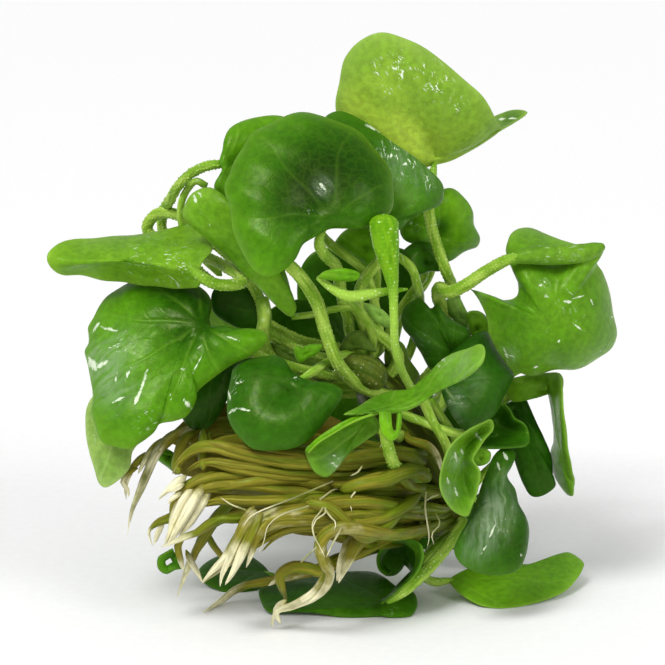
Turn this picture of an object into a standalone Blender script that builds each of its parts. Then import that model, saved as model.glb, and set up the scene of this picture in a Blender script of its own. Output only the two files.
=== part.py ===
"""Floating heart, a water plant lifted out of its pond and set down on its roots and lowest leaves.

Leaves, their stalks and the roots grow from one short crown. Places are read in the plant's front view: a
place is (column, row, near). Column and row count the view's picture points from its top left corner, and
near is how many millimetres the place stands in front of the plant's middle, towards the viewer.

A leaf is a fan. Straight spokes run from the place where the stalk joins it out to the places on its
margin, listed clockwise from one side of the notch to the other, and each spoke bows out of the straight.
"""
import bpy
import numpy as np
from math import cos, pi, radians, sin

MM = 0.001
VIEW_WIDTH = 0.16625
VIEW_COLUMNS = 665
VIEW_DISTANCE = 0.7
VIEW_TILT = radians(12)
VIEW_CENTRE_ACROSS = -0.0012
VIEW_CENTRE_BACK = -0.0045
VIEW_CENTRE_HEIGHT = 0.0702
LEAF_THICKNESS = 0.0007
STALK_SIDES = 5
ROOT_SIDES = 5
CROWN_SIDES = 9
STEM_RADIUS = 1.1
GAP = 0.0003
CROWN_APPROACH = 0.003
TUBE_STEP = 0.0098
CROWN_STEP = 0.004
CURVE_STEPS = 40
FEWEST_RINGS = 5
ROUND_EDGE_ANGLE = radians(60)

RIGHT = np.array([1.0, 0.0, 0.0])
UP = np.array([0.0, sin(VIEW_TILT), cos(VIEW_TILT)])
TOWARDS = np.array([0.0, -cos(VIEW_TILT), sin(VIEW_TILT)])
VIEW_CENTRE = np.array([VIEW_CENTRE_ACROSS, VIEW_CENTRE_BACK, VIEW_CENTRE_HEIGHT])
MIDDLE = VIEW_COLUMNS / 2
POINT_SIZE = VIEW_WIDTH / VIEW_COLUMNS

SHADES = {
    "yellow_green": (138, 178, 48),
    "bright_green": (120, 172, 30),
    "fresh_green": (84, 146, 18),
    "middle_green": (62, 118, 20),
    "dark_green": (40, 88, 12),
    "deep_green": (22, 60, 10),
    "pale_green": (168, 200, 118),
    "stalk_green": (130, 165, 62),
    "root_olive": (150, 145, 66),
    "root_cream": (205, 200, 150),
    "crown_brown": (98, 88, 34),
}
GLOSS = {"leaf": 0.28, "stalk": 0.42, "root": 0.34, "crown": 0.5}

# stalk: where the stalk joins, near: how near that is, lean: millimetres nearer for each millimetre to the
# right and upwards. A margin place is (column, row), then how much nearer than the leaning plane, then its
# share of the bow. bow: the spokes' bulge to the right, upwards and towards the viewer. rings: how many
# rings of points the spokes have. hub: where the spokes meet, if not at the stalk. stem: a stalk grown in
# one with the blade. joint: where the stem starts, if not at the stalk. lobes: parts of the same leaf that
# curl or fold by themselves. rests: the blade lies on the ground and is flat there.
LEAVES = {
    "top_leaf": dict(
        shade="yellow_green", stalk=(436, 157), near=0, lean=(0, 0.5), bow=(0, 0, 5), rings=3,
        margin=[
            (430, 164), (405, 170), (372, 162), (347, 140), (337, 108), (341, 82), (347, 57), (360, 42),
            (380, 33.5), (402, 38.5), (426, 51), (452, 71), (476, 92), (487, 106), (494, 119, -1),
            (498, 129, -5, 0.5), (470, 147, -3.5, 0.5), (450, 158, -1.5, 0.5)],
        lobes=[dict(
            stalk=(436, 157), near=0, lean=(0, 0.5), bow=(0, 0, 0), hub=(490, 126, -9),
            margin=[
                (442, 158, 0), (470, 150, -2), (500, 131, -4), (514, 123, -11), (527, 113, -16),
                (512, 111, -20), (485, 122, -19), (462, 138, -12)])]),
    "behind_front_leaf": dict(
        shade="dark_green", stalk=(374, 222), near=15, lean=(-0.3, -0.15), bow=(0, 0, 4),
        margin=[
            (366, 228), (345, 215), (324, 190), (315, 160), (316, 135), (326, 116), (340, 110.5), (365, 121),
            (390, 140.5), (415, 157), (432, 171), (443, 183), (445, 193), (441, 205), (428, 211), (412, 218),
            (400, 230), (386, 233)]),
    "front_leaf": dict(
        shade="middle_green", stalk=(331, 222), near=30, lean=(-0.1, -0.3), bow=(0, 0, 3), rings=3,
        hub=(314, 212, 31.5),
        margin=[
            (321, 236), (305, 247), (293, 264), (286, 272), (272, 278), (256, 273), (243, 258), (234, 238),
            (229, 212), (224, 188), (228, 172), (238, 152), (249, 136), (263, 125), (281, 116.5), (301, 110),
            (322, 114), (343, 121), (362, 131), (378, 148), (390, 168), (396, 190), (395, 207), (388, 219),
            (370, 228), (348, 231), (330, 232)]),
    "upper_left_leaf": dict(
        shade="middle_green", stalk=(232, 164), near=17, lean=(-0.3, -0.2), bow=(0, 0, 2),
        margin=[
            (219, 163), (222, 150), (224, 139), (231, 128), (250, 118), (275, 115), (295, 122), (304, 150),
            (295, 185), (265, 205), (235, 206), (214, 188), (218, 176), (221, 169)]),
    "left_inner_leaf": dict(
        shade="fresh_green", stalk=(266, 250), near=20, lean=(0.1, 0.2), bow=(0, 0, 3),
        margin=[
            (280, 256, 0, 0), (287, 273, 0, 0.4), (291, 290), (297, 309), (291, 317), (282, 313),
            (270, 301), (257, 285),
            (240, 271), (222, 255), (204, 239), (190, 227), (183, 216), (186, 203), (192, 193), (203, 187),
            (214, 187), (228, 198), (250, 215), (268, 232)]),
    "left_rolled_leaf": dict(
        shade="bright_green", stalk=(190, 266), near=20, lean=(0.15, 0.0), bow=(0, 0, 4),
        margin=[
            (201, 266, 0, 0), (199, 285, -4, 0), (180, 286, -8, 0.6), (155, 284.5, -10), (128, 281, -11),
            (105, 278, -10), (80, 273.5, -8), (62, 272.5, -5), (52, 266, -2), (48, 257, -1), (56, 248, -4),
            (75, 242, -9),
            (110, 239, -15), (148, 235, -19), (175, 229, -20), (192, 226, -17), (204, 238, -10, 0.3),
            (212, 251, -4, 0)]),
    "left_glossy_leaf": dict(
        shade="middle_green", stalk=(203, 328), near=12, lean=(0.2, -0.45), bow=(0, 0, 3), rings=3,
        hub=(184, 342, 15),
        margin=[
            (213, 325), (230, 325), (250, 327), (263, 329), (268, 338), (262, 348), (245, 360), (228, 369),
            (212, 380), (198, 393), (197, 404), (188, 416), (176, 421), (160, 424), (155, 432), (145, 441),
            (130, 449), (115, 447), (102, 442), (95, 430), (91, 412), (92, 400), (90, 380), (85, 362),
            (84, 350), (88, 342), (86, 326), (93, 315), (100, 304), (109, 293), (128, 281), (152, 278),
            (180, 280), (204, 288), (213, 305)]),
    "left_pale_leaf": dict(
        shade="pale_green", stalk=(128, 400), near=5, lean=(0.3, -0.3), bow=(0, 0, 2),
        hub=(117, 422, 7),
        margin=[
            (134, 393), (147, 404), (147, 428), (131, 452), (129, 467), (120, 478), (106, 486.5), (101, 484),
            (96, 470), (90, 450), (87, 430), (88, 408), (98, 394), (120, 388)],
        stem=[(150, 398, 3), (220, 395, -2), (300, 392, -6), (350, 394, -7)]),
    "centre_leaf": dict(
        shade="dark_green", stalk=(298, 379), near=19, lean=(0.1, -0.4), bow=(0, 0, 3),
        hub=(288, 391, 21),
        margin=[
            (305, 377), (318, 381), (332, 383), (342, 389), (343, 395), (337, 407), (325, 424), (312, 438),
            (298, 447), (275, 451), (252, 449), (238, 438), (230, 425), (226, 412), (226, 398), (230, 380),
            (233, 367), (242, 359), (258, 356), (274, 354), (286, 359), (295, 370)],
        stem=[(306, 376, 18), (320, 367, 13), (334, 359, 8), (344, 355, 6.5), (352, 356, 4.8)]),
    "left_dark_leaf": dict(
        shade="deep_green", stalk=(222, 352), near=8, lean=(0.3, 0.1), bow=(0, 0, 1.5),
        margin=[
            (232, 346), (240, 362), (234, 385), (227, 402), (218, 418), (208, 428), (198, 430), (188, 426),
            (181, 415), (182, 395), (190, 372), (202, 354), (214, 346)],
        stem=[(235, 360, 4), (280, 379, 0), (325, 386, -2), (349, 386, -2)]),
    "young_leaf": dict(
        shade="fresh_green", stalk=(388, 408), near=29, lean=(0.1, 0.0), bow=(0, 0, 2),
        hub=(414, 396, 26),
        margin=[
            (387, 414), (370, 413), (357, 414.5, 0), (344, 414, 0), (358, 406, -2), (372, 397, -6),
            (392, 390.5, -8), (410, 389, -8), (425, 377, -7), (436, 364, -5), (452, 353, -2), (468, 348, 0),
            (480, 344, 2), (484, 351, 4), (482, 363, 5), (472, 374, 4), (452, 384, 2), (438, 392, 1),
            (430, 398), (415, 407), (402, 412)]),
    "young_leaf_lower": dict(
        shade="fresh_green", stalk=(374, 423), near=23.5, lean=(0.1, 0.0), bow=(0, 0, -2),
        hub=(366, 421, 23.5),
        margin=[
            (379, 429), (366, 440), (352, 451), (342, 463), (334, 472), (326, 477), (316, 473), (309, 463),
            (306, 455), (309, 447, 4), (330, 435, 6), (350, 424, 5), (366, 417, 3), (375, 417, 1)],
        stem=[(378, 428, 20), (386, 432, 15), (394, 435, 9), (399, 438, 3.4)]),
    "right_leaf": dict(
        shade="fresh_green", stalk=(524, 252), near=9, lean=(0.0, 0.0), bow=(0, 0, 2.5),
        hub=(548, 325, 8.5),
        margin=[
            (505, 251, -6), (508, 238, -7), (516, 229, -10), (530, 227.5, -13),
            (545, 232, -14), (560, 238, -10), (576, 243, -4), (592, 243.5, -1), (604, 244.5, -2),
            (604, 251, -3), (597, 262, -6), (603, 273, -9), (611, 293, -12), (615, 315, -14), (618, 335, -15),
            (612, 351, -15), (598, 361, -14), (577, 369, -13), (555, 371, -12), (533, 377, -11),
            (513, 370, -7), (499, 353, -5), (489, 335, -4), (486, 318, -4), (478, 301, -5), (470, 288, -7),
            (485, 291.5, -6), (503, 298, -4), (516, 296, -3), (518, 284, -3)]),
    "right_back_leaf": dict(
        shade="middle_green", stalk=(436, 236), near=-10, lean=(-0.5, 0.3), bow=(0, 0, 3),
        margin=[
            (430, 243), (418, 246), (404, 240), (400, 228), (410, 215), (425, 203), (440, 191), (453, 188.5),
            (466, 199), (473, 212), (474, 224), (481, 239), (478, 248), (463, 253), (447, 262), (438, 252)],
        stem=[(434, 252, -15), (428, 278, -20), (404, 308, -21), (396, 335, -18), (391, 360, -13)]),
    "right_back_dark_leaf": dict(
        shade="dark_green", stalk=(426, 262), near=-4.5, lean=(-0.4, -0.2), bow=(0, 0, 2),
        margin=[
            (430, 272), (418, 275), (406, 270), (400, 257), (408, 246), (422, 241), (436, 245), (445, 256),
            (447, 267), (440, 272)],
        stem=[(424, 274, -9), (414, 290, -15), (400, 310, -16), (390, 330, -12), (383, 346, -8.5)]),
    "inner_bright_leaf": dict(
        shade="bright_green", stalk=(372, 258), near=0, lean=(0.2, 0.2), bow=(0, 0, 1.5),
        hub=(364, 247, 0.5),
        margin=[
            (368, 267), (360, 262), (346, 252), (334, 245), (337, 238), (345, 231), (360, 226), (378, 230),
            (386, 245), (380, 262)],
        stem=[(376, 266, -4), (376, 290, -7.5), (371, 320, -8), (370, 341, -6)]),
    "inner_right_leaf": dict(
        shade="dark_green", stalk=(452, 352), near=-5, lean=(0.2, 0.2), bow=(0, 0, 3),
        margin=[
            (462, 360), (447, 374), (430, 370), (419, 352), (411, 338), (403, 328), (402, 313), (409, 303),
            (422, 299), (431, 308), (437, 302), (446, 314), (456, 322), (468, 330), (472, 346)],
        stem=[(443, 368, -5.5), (430, 384, -3.5), (419, 397, -3)]),
    "right_dark_leaf": dict(
        shade="deep_green", stalk=(452, 380), near=4, lean=(-0.35, -0.3), bow=(0, 0, 3),
        margin=[
            (443, 378), (447, 358), (458, 345), (470, 337), (486, 331), (494, 345), (505, 362), (515, 374),
            (510, 387), (503, 400), (495, 415), (482, 426), (468, 432), (455, 422), (446, 406), (441, 390)],
        stem=[(446, 393, 1), (441, 408, 0), (431, 419, -2)]),
    "right_hanging_leaf": dict(
        shade="fresh_green", stalk=(552, 387), near=-10, lean=(0.0, 0.2), bow=(0, 0, 1),
        hub=(562, 455, -10),
        margin=[
            (547, 377), (556, 373, 3), (560, 386, 8), (562, 402, 11), (563, 418, 12), (565.5, 440, 11),
            (568, 458, 9), (571, 472, 6), (574, 483, 3), (572, 496), (562, 490, -6), (553, 476, -9),
            (550, 452, -11), (554, 438, -12), (554, 420, -12), (551, 404, -10), (548, 390, -5)],
        stem=[(535, 386, -15), (510, 396, -22), (480, 420, -25), (458, 445, -23), (447, 458, -18.5)]),
    "right_low_dark_leaf": dict(
        shade="deep_green", stalk=(514, 410), near=-18, lean=(0.3, 0.1), bow=(0, 0, 3),
        margin=[
            (512, 401), (524, 397), (530, 408), (538, 424), (546, 441), (552, 455), (553, 474), (556, 485),
            (542, 496), (531, 496), (523, 485), (518, 472), (511, 455), (503, 440), (500, 420), (503, 407)],
        stem=[(502, 422, -28), (485, 446, -29), (470, 466, -25), (458, 478, -19)]),
    "cupped_leaf": dict(
        shade="dark_green", stalk=(489, 430), near=-4, lean=(0.0, 0.0), bow=(0, 0, -4),
        margin=[
            (482, 424), (490, 412), (501, 404), (509, 410), (514, 418), (524, 424), (528, 433), (526, 443, 5),
            (512, 446, 7), (494, 448, 7), (478, 446, 6), (480, 435, 3)],
        stem=[(477, 433, -2), (462, 434, 2), (440, 429, 5), (424, 422, 5), (412, 418, 2.6)]),
    "crescent_leaf": dict(
        shade="fresh_green", stalk=(466, 466), near=18, lean=(0.0, 0.1), bow=(0, 0, -2.5),
        hub=(460, 457, 17),
        margin=[
            (472, 459), (479, 473), (476, 488), (472, 502), (468, 515, 3), (458, 512, 5), (448, 500, 7),
            (442, 486, 8), (442, 470, 8), (448, 452, 7), (458, 439, 5), (471, 431, 3), (484, 424, 1),
            (491, 421), (492, 428), (484, 438), (477, 449)],
        stem=[(463, 474, 13), (457, 480, 5), (452, 483, -3)]),
    "grey_gloss_leaf": dict(
        shade="dark_green", stalk=(503, 462), near=2, lean=(-0.3, -0.3), bow=(0, 0, 2),
        hub=(497, 484, 5.5), joint=(499, 472, 4.3),
        margin=[
            (508, 448), (515, 453), (513, 463), (508, 475), (516, 489), (520, 505), (528, 522), (529, 538),
            (526, 556), (519, 569), (500, 575), (477, 572), (461, 563), (454, 549), (464, 530), (472, 512),
            (479, 493), (486, 473), (494, 456), (501, 449)],
        stem=[(496, 464, -4), (484, 474, -9), (470, 488, -12)]),
    "right_floor_leaf": dict(
        rests=True,
        shade="bright_green", stalk=(456, 580), near=-18.5, lean=(-0.1, -1.6), bow=(0, 1.5, 1), rings=3,
        hub=(484, 583, -17.5),
        margin=[
            (450, 580, 0, 0), (458, 573, 0, 0), (475, 565.5, 0, 0), (490, 561, 0, 0), (506, 560, 0, 0),
            (524, 564, 0, 0), (540, 561, 0, 0), (555, 556, 0, 0), (568, 552.5, 0, 0), (583, 562, 0, 0),
            (582, 569, 0, 0), (576, 579, 0, -0.6), (565, 590, 0, -1.6), (550, 597, 0, -2),
            (535, 602, 0, -2.2), (517, 606, 0, -2.4), (500, 607.5, 0, -2.4), (483, 605, 0, -2.2),
            (468, 598, 0, -1), (456, 589, 0, 0)],
        stem=[(446, 581, -18.5), (436, 582, -17.5), (426, 578, -16.5), (424, 562, -16), (436, 545, -17),
              (454, 532, -17)]),
    "front_floor_leaf": dict(
        rests=True,
        shade="dark_green", stalk=(384, 601), near=-5, lean=(0.0, -0.9), bow=(0, 0, 0.5),
        hub=(358, 608, -3.4),
        margin=[
            (399, 587, -3.5), (412, 591, -3), (417, 604, -1), (411, 615, 0), (397, 620, 0),
            (384, 617, 0), (350, 618, 0), (318, 613.5, 0), (298, 612.5, 0), (270, 611, 0), (262, 602, -3),
            (260, 588, -5), (275, 578, -7), (310, 575, -9), (345, 571, -10), (372, 571, -9), (384, 577, -6)],
        lobes=[
            dict(
                stalk=(390, 594), near=-7, lean=(0, 0), bow=(0, 0, 0), hub=(404, 555, -14),
                margin=[
                    (416, 576, 4.1), (422, 565, 6), (423.5, 553, 6), (418, 543, 5), (408, 538, 3),
                    (398, 538, 0.5), (388, 543, -3.5), (380, 552, -7), (377.5, 560, -8), (379, 569, -9.5),
                    (387, 575.5, -10), (395, 575, -11), (401, 570, -11.5), (404.5, 565, -12),
                    (411, 571.5, -9)]),
            dict(
                stalk=(390, 594), near=-7, lean=(0, 0), bow=(0, 0, 0), hub=(404, 585, -4),
                margin=[
                    (382, 602.5, 1.8), (392, 595.5, 3), (400, 590, 3.5), (408, 583.5, 4), (416, 576, 4.1),
                    (419, 570, 4.2), (411, 571.5, -4), (401, 581, -1), (392, 591, 1)])]),
    "left_floor_leaf": dict(
        shade="dark_green", stalk=(262, 572), near=-30, lean=(0.0, -1.6), bow=(0, 0, 1), rests=True,
        margin=[
            (270, 579), (252, 590), (228, 592), (214, 587), (203, 580), (199, 570), (206, 562), (220, 555),
            (240, 551), (258, 560)],
        stem=[(278, 578, -28), (302, 578, -26), (340, 560, -27), (385, 535, -27), (428, 512, -22)]),
    "back_high_leaf": dict(
        shade="middle_green", stalk=(335, 212), near=-26, lean=(0.0, 0.4), bow=(0, 0, -5),
        margin=[
            (340, 222), (318, 224), (292, 214), (268, 195), (262, 165), (280, 138), (320, 125), (358, 135),
            (382, 165), (380, 198), (352, 215)],
        stem=[(322, 222, -12), (321, 234, -1), (334, 247, 3.1), (350, 259, 3.8), (364, 271, 1.5),
              (374, 300, -2), (379, 344, -3)]),
    "back_top_leaf": dict(
        shade="dark_green", stalk=(395, 200), near=-38, lean=(0.0, 0.5), bow=(0, 0, -5),
        margin=[
            (398, 210), (378, 208), (358, 192), (348, 165), (355, 140), (375, 128), (402, 140), (424, 165),
            (430, 188), (415, 204)],
        stem=[(396, 215, -32), (381, 236, -16), (386, 249, -2), (410, 266, 1.5), (417, 284, -2),
              (420, 302, -10), (416, 332, -14), (407, 358, -12)]),
    "back_left_leaf": dict(
        shade="middle_green", stalk=(245, 350), near=-28, lean=(0.3, 0.4), bow=(0, 0, -6),
        margin=[
            (250, 358), (235, 385), (205, 405), (160, 412), (125, 392), (110, 355), (120, 320), (150, 300),
            (190, 298), (225, 315), (248, 340)],
        stem=[(268, 356, -29), (305, 367, -28), (340, 378, -24), (354, 384, -16)]),
    "back_right_leaf": dict(
        shade="middle_green", stalk=(470, 360), near=-34, lean=(-0.3, 0.3), bow=(0, 0, -5),
        margin=[
            (462, 350), (475, 335), (505, 318), (545, 312), (580, 325), (592, 350), (575, 362), (540, 368),
            (515, 378), (498, 395), (475, 388), (464, 370)],
        stem=[(458, 372, -35), (440, 395, -29), (422, 415, -17)]),
    "back_centre_leaf": dict(
        shade="dark_green", stalk=(335, 345), near=-18, lean=(0, 0.3), bow=(0, 0, -4),
        margin=[
            (340, 355), (325, 378), (295, 396), (262, 385), (250, 350), (262, 318), (292, 302), (322, 304),
            (343, 322), (345, 338)],
        stem=[(343, 356, -17), (355, 366, -11.5)]),
    "back_root_leaf": dict(
        shade="middle_green", stalk=(392, 474), near=-28, lean=(0.3, -0.3), bow=(0, 0, -3),
        hub=(370, 478, -30), joint=(386, 474.5, -29),
        margin=[
            (396, 464), (385, 438), (372, 410), (352, 387), (326, 384), (300, 400), (282, 432), (276, 465),
            (280, 492), (296, 513), (330, 522), (370, 514), (394, 494)],
        stem=[(404, 470, -27), (418, 464, -18)]),
    "back_low_leaf": dict(
        rests=True,
        shade="dark_green", stalk=(478, 502), near=-30, lean=(-0.2, 0.62), bow=(0, 0, 2),
        margin=[
            (482, 492), (505, 492), (522, 515), (526, 540), (518, 560), (500, 573), (480, 568), (462, 552),
            (458, 525), (468, 505)],
        stem=[(469, 496, -26), (459, 493, -20)]),
    "dark_middle_leaf": dict(
        shade="dark_green", stalk=(364, 346), near=-29, lean=(0, 0.1), bow=(0, 0, 0), rings=1,
        hub=(359, 338, -28.8),
        margin=[
            (352, 351), (325, 345), (305, 328), (298, 300), (300, 272), (312, 254), (330, 248), (354, 246),
            (380, 246), (404, 250), (424, 262), (431, 278), (424, 292), (408, 304), (400, 320), (397, 340),
            (376, 352)],
        stem=[(366, 356, -23), (370, 366, -14)]),
    "dark_low_leaf": dict(
        shade="dark_green", stalk=(440, 545), near=-41, lean=(0, 0), bow=(0, 0, 0), rings=1,
        hub=(440, 530, -41),
        margin=[
            (434, 552), (420, 546), (408, 530), (400, 508), (397, 480), (396, 450), (400, 425), (410, 405),
            (424, 396), (440, 398), (455, 410), (466, 430), (474, 455), (477, 480), (475, 505), (468, 528),
            (458, 545), (446, 552)],
        stem=[(443, 532, -39), (449, 512, -30)]),
}

# Young leaves still rolled up: a path with the roll's radius in millimetres along it. from_crown: the path
# starts at the crown.
ROLLED_LEAVES = {
    "rolled_leaf": dict(
        shade="bright_green",
        path=[
            (408, 400, 1), (411, 390, 10), (401, 368, 20), (395, 345, 25), (394, 320, 28), (393, 290, 29),
            (390, 268, 30), (386, 245, 31), (384, 228, 31), (384, 214, 31)],
        from_crown=True, radius=[1.3, 1.2, 1.2, 1.1, 1.1, 1.1, 1.1, 1.1, 1.3, 2.3, 3.4, 3.4, 1.0]),
    "bright_bud": dict(
        shade="bright_green",
        path=[(318, 277, 27), (330, 287, 27), (348, 296, 27), (370, 294, 26), (390, 291, 25), (408, 289, 24)],
        radius=[0.8, 1.2, 1.6, 1.6, 1.3, 0.9, 0.3],
        stem=[(352, 302, 22), (362, 314, 15), (370, 328, 10), (373, 340, 6)]),
}

# Stalks that stand as pieces of their own, from the leaf down to the crown.
STALKS = {
    "left_inner_stalk": dict(
        path=[
            (272, 254, 23.3), (290, 266, 24.2), (303, 280, 23), (317, 303, 21), (325, 330, 18),
            (337, 362, 14),
            (352, 380, 9), (362, 387, 6)],
        radius=[1.6, 1.8, 1.7, 1.7, 1.8]),
    "front_stalk": dict(
        path=[
            (323, 231, 28.7), (319, 242, 28), (324, 254, 25), (336, 266, 19), (340, 285, 12),
            (343, 302, 7), (348, 318, 3), (351, 336, -0.5)],
        radius=[1.4, 1.5, 1.5, 1.5]),
    "behind_front_stalk": dict(
        path=[
            (377, 228, 13.4), (384, 241, 11.4), (378, 261, 8), (366, 277, 6), (359, 292, 4), (359, 308, 2),
            (366, 322, 1.5), (376, 333, 1.5), (390, 344, 1), (398, 360, -1)],
        radius=[1.3, 1.5, 1.5, 1.7, 1.7]),
    "top_stalk": dict(
        path=[
            (434, 167, 0), (431, 185, 1), (429, 212, 1), (437, 245, 0.8), (445, 268, -0.5), (452, 286, -6),
            (455, 300, -11),
            (459, 322, -16), (452, 352, -19), (432, 385, -18), (416, 402, -14.5)],
        radius=[1.4, 1.5, 1.6, 1.6]),
    "right_stalk": dict(
        path=[
            (520, 256, 11.2), (507, 260, 10.2), (485, 272, 7), (464, 286, 4), (449, 292, 2), (440, 288, -1),
            (438, 296, -6), (446, 322, -11), (446, 350, -14), (430, 374, -13), (413, 390, -10)],
        radius=[1.5, 1.7, 1.8, 1.8, 1.6]),
    "young_stalk": dict(
        path=[
            (388, 416, 28.6), (385, 430, 26.5), (389, 450, 23), (394, 464, 18), (403, 473, 12),
            (414, 477, 5), (420, 477, 0)],
        radius=[1.5, 1.6, 1.6, 1.5]),
    "front_floor_stalk": dict(
        path=[
            (391, 600, 1.9), (405, 590, 1.9), (425, 572, 0.7), (444, 550, -4), (457, 533, -8),
            (463, 524, -10)],
        radius=[1.5, 1.7, 1.7]),
    "left_glossy_stalk": dict(
        path=[
            (208, 334, 10.8), (226, 342, 12.2), (245, 350, 12.2), (262, 357, 10), (300, 369, 6),
            (335, 376, 4), (344, 377, 3)],
        radius=[1.3, 1.4, 1.4]),
    "left_rolled_stalk": dict(
        path=[
            (191, 268, 22.4), (200, 276, 22.6), (216, 284, 21.5), (238, 284, 19), (243, 279, 16),
            (228, 268, 10), (205, 257, 2), (180, 247, -5), (157, 240, -8), (147, 228, -8), (157, 214, -6),
            (178, 215, -3), (200, 232, 0),
            (235, 262, 2), (260, 300, 4), (266, 330, 2), (300, 350, 0), (346, 364, -1.5)],
        radius=[1.5, 1.5, 1.5, 1.4, 1.5]),
    "upper_left_stalk": dict(
        path=[
            (228.5, 165, 15.9), (212, 165, 15.5), (195, 171, 13), (180, 184, 8), (170, 200, 0),
            (163, 214, -12),
            (163, 232, -15.5), (185, 258, -14), (235, 300, -11), (295, 338, -9), (352, 352, -7)],
        radius=[1.2, 1.3, 1.3, 1.4]),
}

# Thick roots and matted strands of fine ones, from the crown outwards. fork: it leaves another root.
ROOTS = {
    "root_1": dict(
        path=[
            (388, 448, -4), (350, 442, -3), (300, 437, -2), (250, 436, -2), (212, 434, -1), (192, 431, 1),
            (172, 436, 4), (157, 450, 5.5), (148, 468, 5), (139, 492, 4), (131, 515, 3), (128, 536, 2)],
        radius=[1.6, 1.8, 2.0, 2.2, 2.3, 1.9, 1.4, 0.4]),
    "root_2": dict(
        path=[
            (419, 458, 1), (395, 455, 9), (350, 462, 15), (300, 461, 19), (245, 453, 19), (205, 447, 18),
            (184, 458, 16), (174, 475, 15)],
        radius=[1.8, 2.4, 2.7, 2.6, 2.2, 1.2]),
    "root_3": dict(
        path=[
            (433, 493, -3), (416, 491, 1), (398, 488.5, 5), (372, 487, 9), (350, 487, 11.5), (300, 485, 14),
            (240, 481, 15.5), (200, 485, 16), (180, 500, 15), (173, 525, 14), (166, 545, 13)],
        radius=[1.8, 2.0, 2.9, 4.1, 4.4, 4.2, 3.4, 2.6, 1.8, 0.5]),
    "root_4": dict(
        path=[
            (440, 512, -6), (420, 511, 1.5), (398, 510, 8.6), (360, 508, 19), (320, 512, 22), (265, 522, 23),
            (243, 544, 22), (225, 565, 20), (202, 583, 19)],
        radius=[1.8, 2.3, 3.0, 3.3, 3.2, 2.8, 2.2, 0.5]),
    "root_5": dict(
        path=[
            (445, 523, -8.5), (415, 531, 5), (389, 532, 15.5), (363, 528, 24), (340, 527, 27.5),
            (326, 533, 28),
            (319, 550, 27), (328, 572, 24), (318, 592, 20), (295, 606, 15), (276, 613, 12), (272, 628, 7.8)],
        radius=[1.6, 1.8, 2.0, 2.3, 2.5, 2.3, 1.8, 1.3, 0.5]),
    "root_6": dict(
        path=[
            (444, 532, -15), (430, 531, -8), (408, 530, -0.8), (385, 537, 2), (362, 550, 5.5),
            (340, 561, 9.5), (318, 572, 12), (304, 568, 13.5), (288, 569, 14.5), (279, 579, 14.5),
            (284, 591, 12.5), (286, 604, 8)],
        radius=[1.5, 1.7, 1.9, 2.0, 1.8, 1.4, 0.8]),
    "root_7": dict(
        path=[
            (441, 521, -19), (415, 530, -20), (390, 544, -19), (362, 554, -13), (332, 562, -5),
            (314, 573, -6.5),
            (290, 578, -8), (262, 584, -9), (240, 589, -11), (222, 601, -11.2), (203, 613, -2.8)],
        radius=[1.4, 1.6, 1.6, 1.6, 1.5, 1.2, 0.6]),
    "root_8": dict(
        fork=True,
        path=[(235, 497, 13.5), (214, 522, 10), (199, 545, 7), (188, 568, 4), (177, 597, 1)],
        radius=[1.6, 1.6, 1.5, 1.2, 0.5]),
    "root_9": dict(
        fork=True,
        path=[(191, 507, 12.3), (174, 517, 9), (157, 524, 7), (150, 530, 6), (153, 546, 6)],
        radius=[1.4, 1.4, 1.4, 1.0, 0.4]),
    "root_10": dict(
        fork=True,
        path=[(250, 518, 20.3), (222, 519, 20), (196, 531, 19), (172, 542, 19), (160, 547, 18)],
        radius=[1.5, 1.7, 1.6, 1.2, 0.4]),
    "root_11": dict(
        fork=True,
        path=[
            (400, 528, 3.2), (386, 529, 7.5), (372, 533, 11), (356, 545, 14), (347, 562, 14.5),
            (339, 582, 12)],
        radius=[1.4, 2.0, 3.0, 3.2, 2.8, 1.6]),
    "root_12": dict(
        path=[(412, 441, 4.5), (421, 442, 6), (436, 455, 4), (443, 474, 0)],
        radius=[1.0, 1.3, 1.3, 1.0]),
}

CROWN = dict(
    path=[(367, 362, -3), (374, 380, -4), (394, 412, -7), (424, 455, -10), (446, 494, -12), (456, 520, -14)],
    radius=[3.2, 6.2, 7.0, 6.8, 6.4, 5.6, 3.0])


def clear_scene():
    for obj in list(bpy.data.objects):
        bpy.data.objects.remove(obj)


def unit(vectors):
    return vectors / np.linalg.norm(vectors, axis=-1, keepdims=True)


def seen(places):
    """The points in space, in metres, of places given as (column, row, near)."""
    place = np.array(places, float)
    near = place[:, 2:3] * MM
    scale = POINT_SIZE * (1 - near / VIEW_DISTANCE)
    across = (place[:, 0:1] - MIDDLE) * scale
    up = (MIDDLE - place[:, 1:2]) * scale
    return VIEW_CENTRE + across * RIGHT + up * UP + near * TOWARDS


def curve_through(points, at):
    """Points of the smooth curve through the given points, at places counted in points from its start."""
    ends = np.vstack([2 * points[0] - points[1], points, 2 * points[-1] - points[-2]])
    first = np.clip(np.floor(at).astype(int), 0, len(points) - 2)
    a, b, c, d = (ends[first + step] for step in range(4))
    t = (at - first)[:, None]
    return 0.5 * (2 * b + (c - a) * t + (2 * a - 5 * b + 4 * c - d) * t**2 + (3 * b - a - 3 * c + d) * t**3)


def even_points(points, step):
    """Points of the smooth curve through the given points, a step apart, and the curve's way at each."""
    fine = curve_through(points, np.linspace(0, len(points) - 1, CURVE_STEPS * len(points)))
    way = np.gradient(fine, axis=0)
    length = np.r_[0, np.cumsum(np.linalg.norm(np.diff(fine, axis=0), axis=1))]
    count = max(FEWEST_RINGS, round(length[-1] / step) + 1)
    wanted = np.linspace(0, length[-1], count)
    middle = np.stack([np.interp(wanted, length, fine[:, axis]) for axis in range(3)], axis=1)
    along = np.stack([np.interp(wanted, length, way[:, axis]) for axis in range(3)], axis=1)
    return middle, unit(along)


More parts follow.
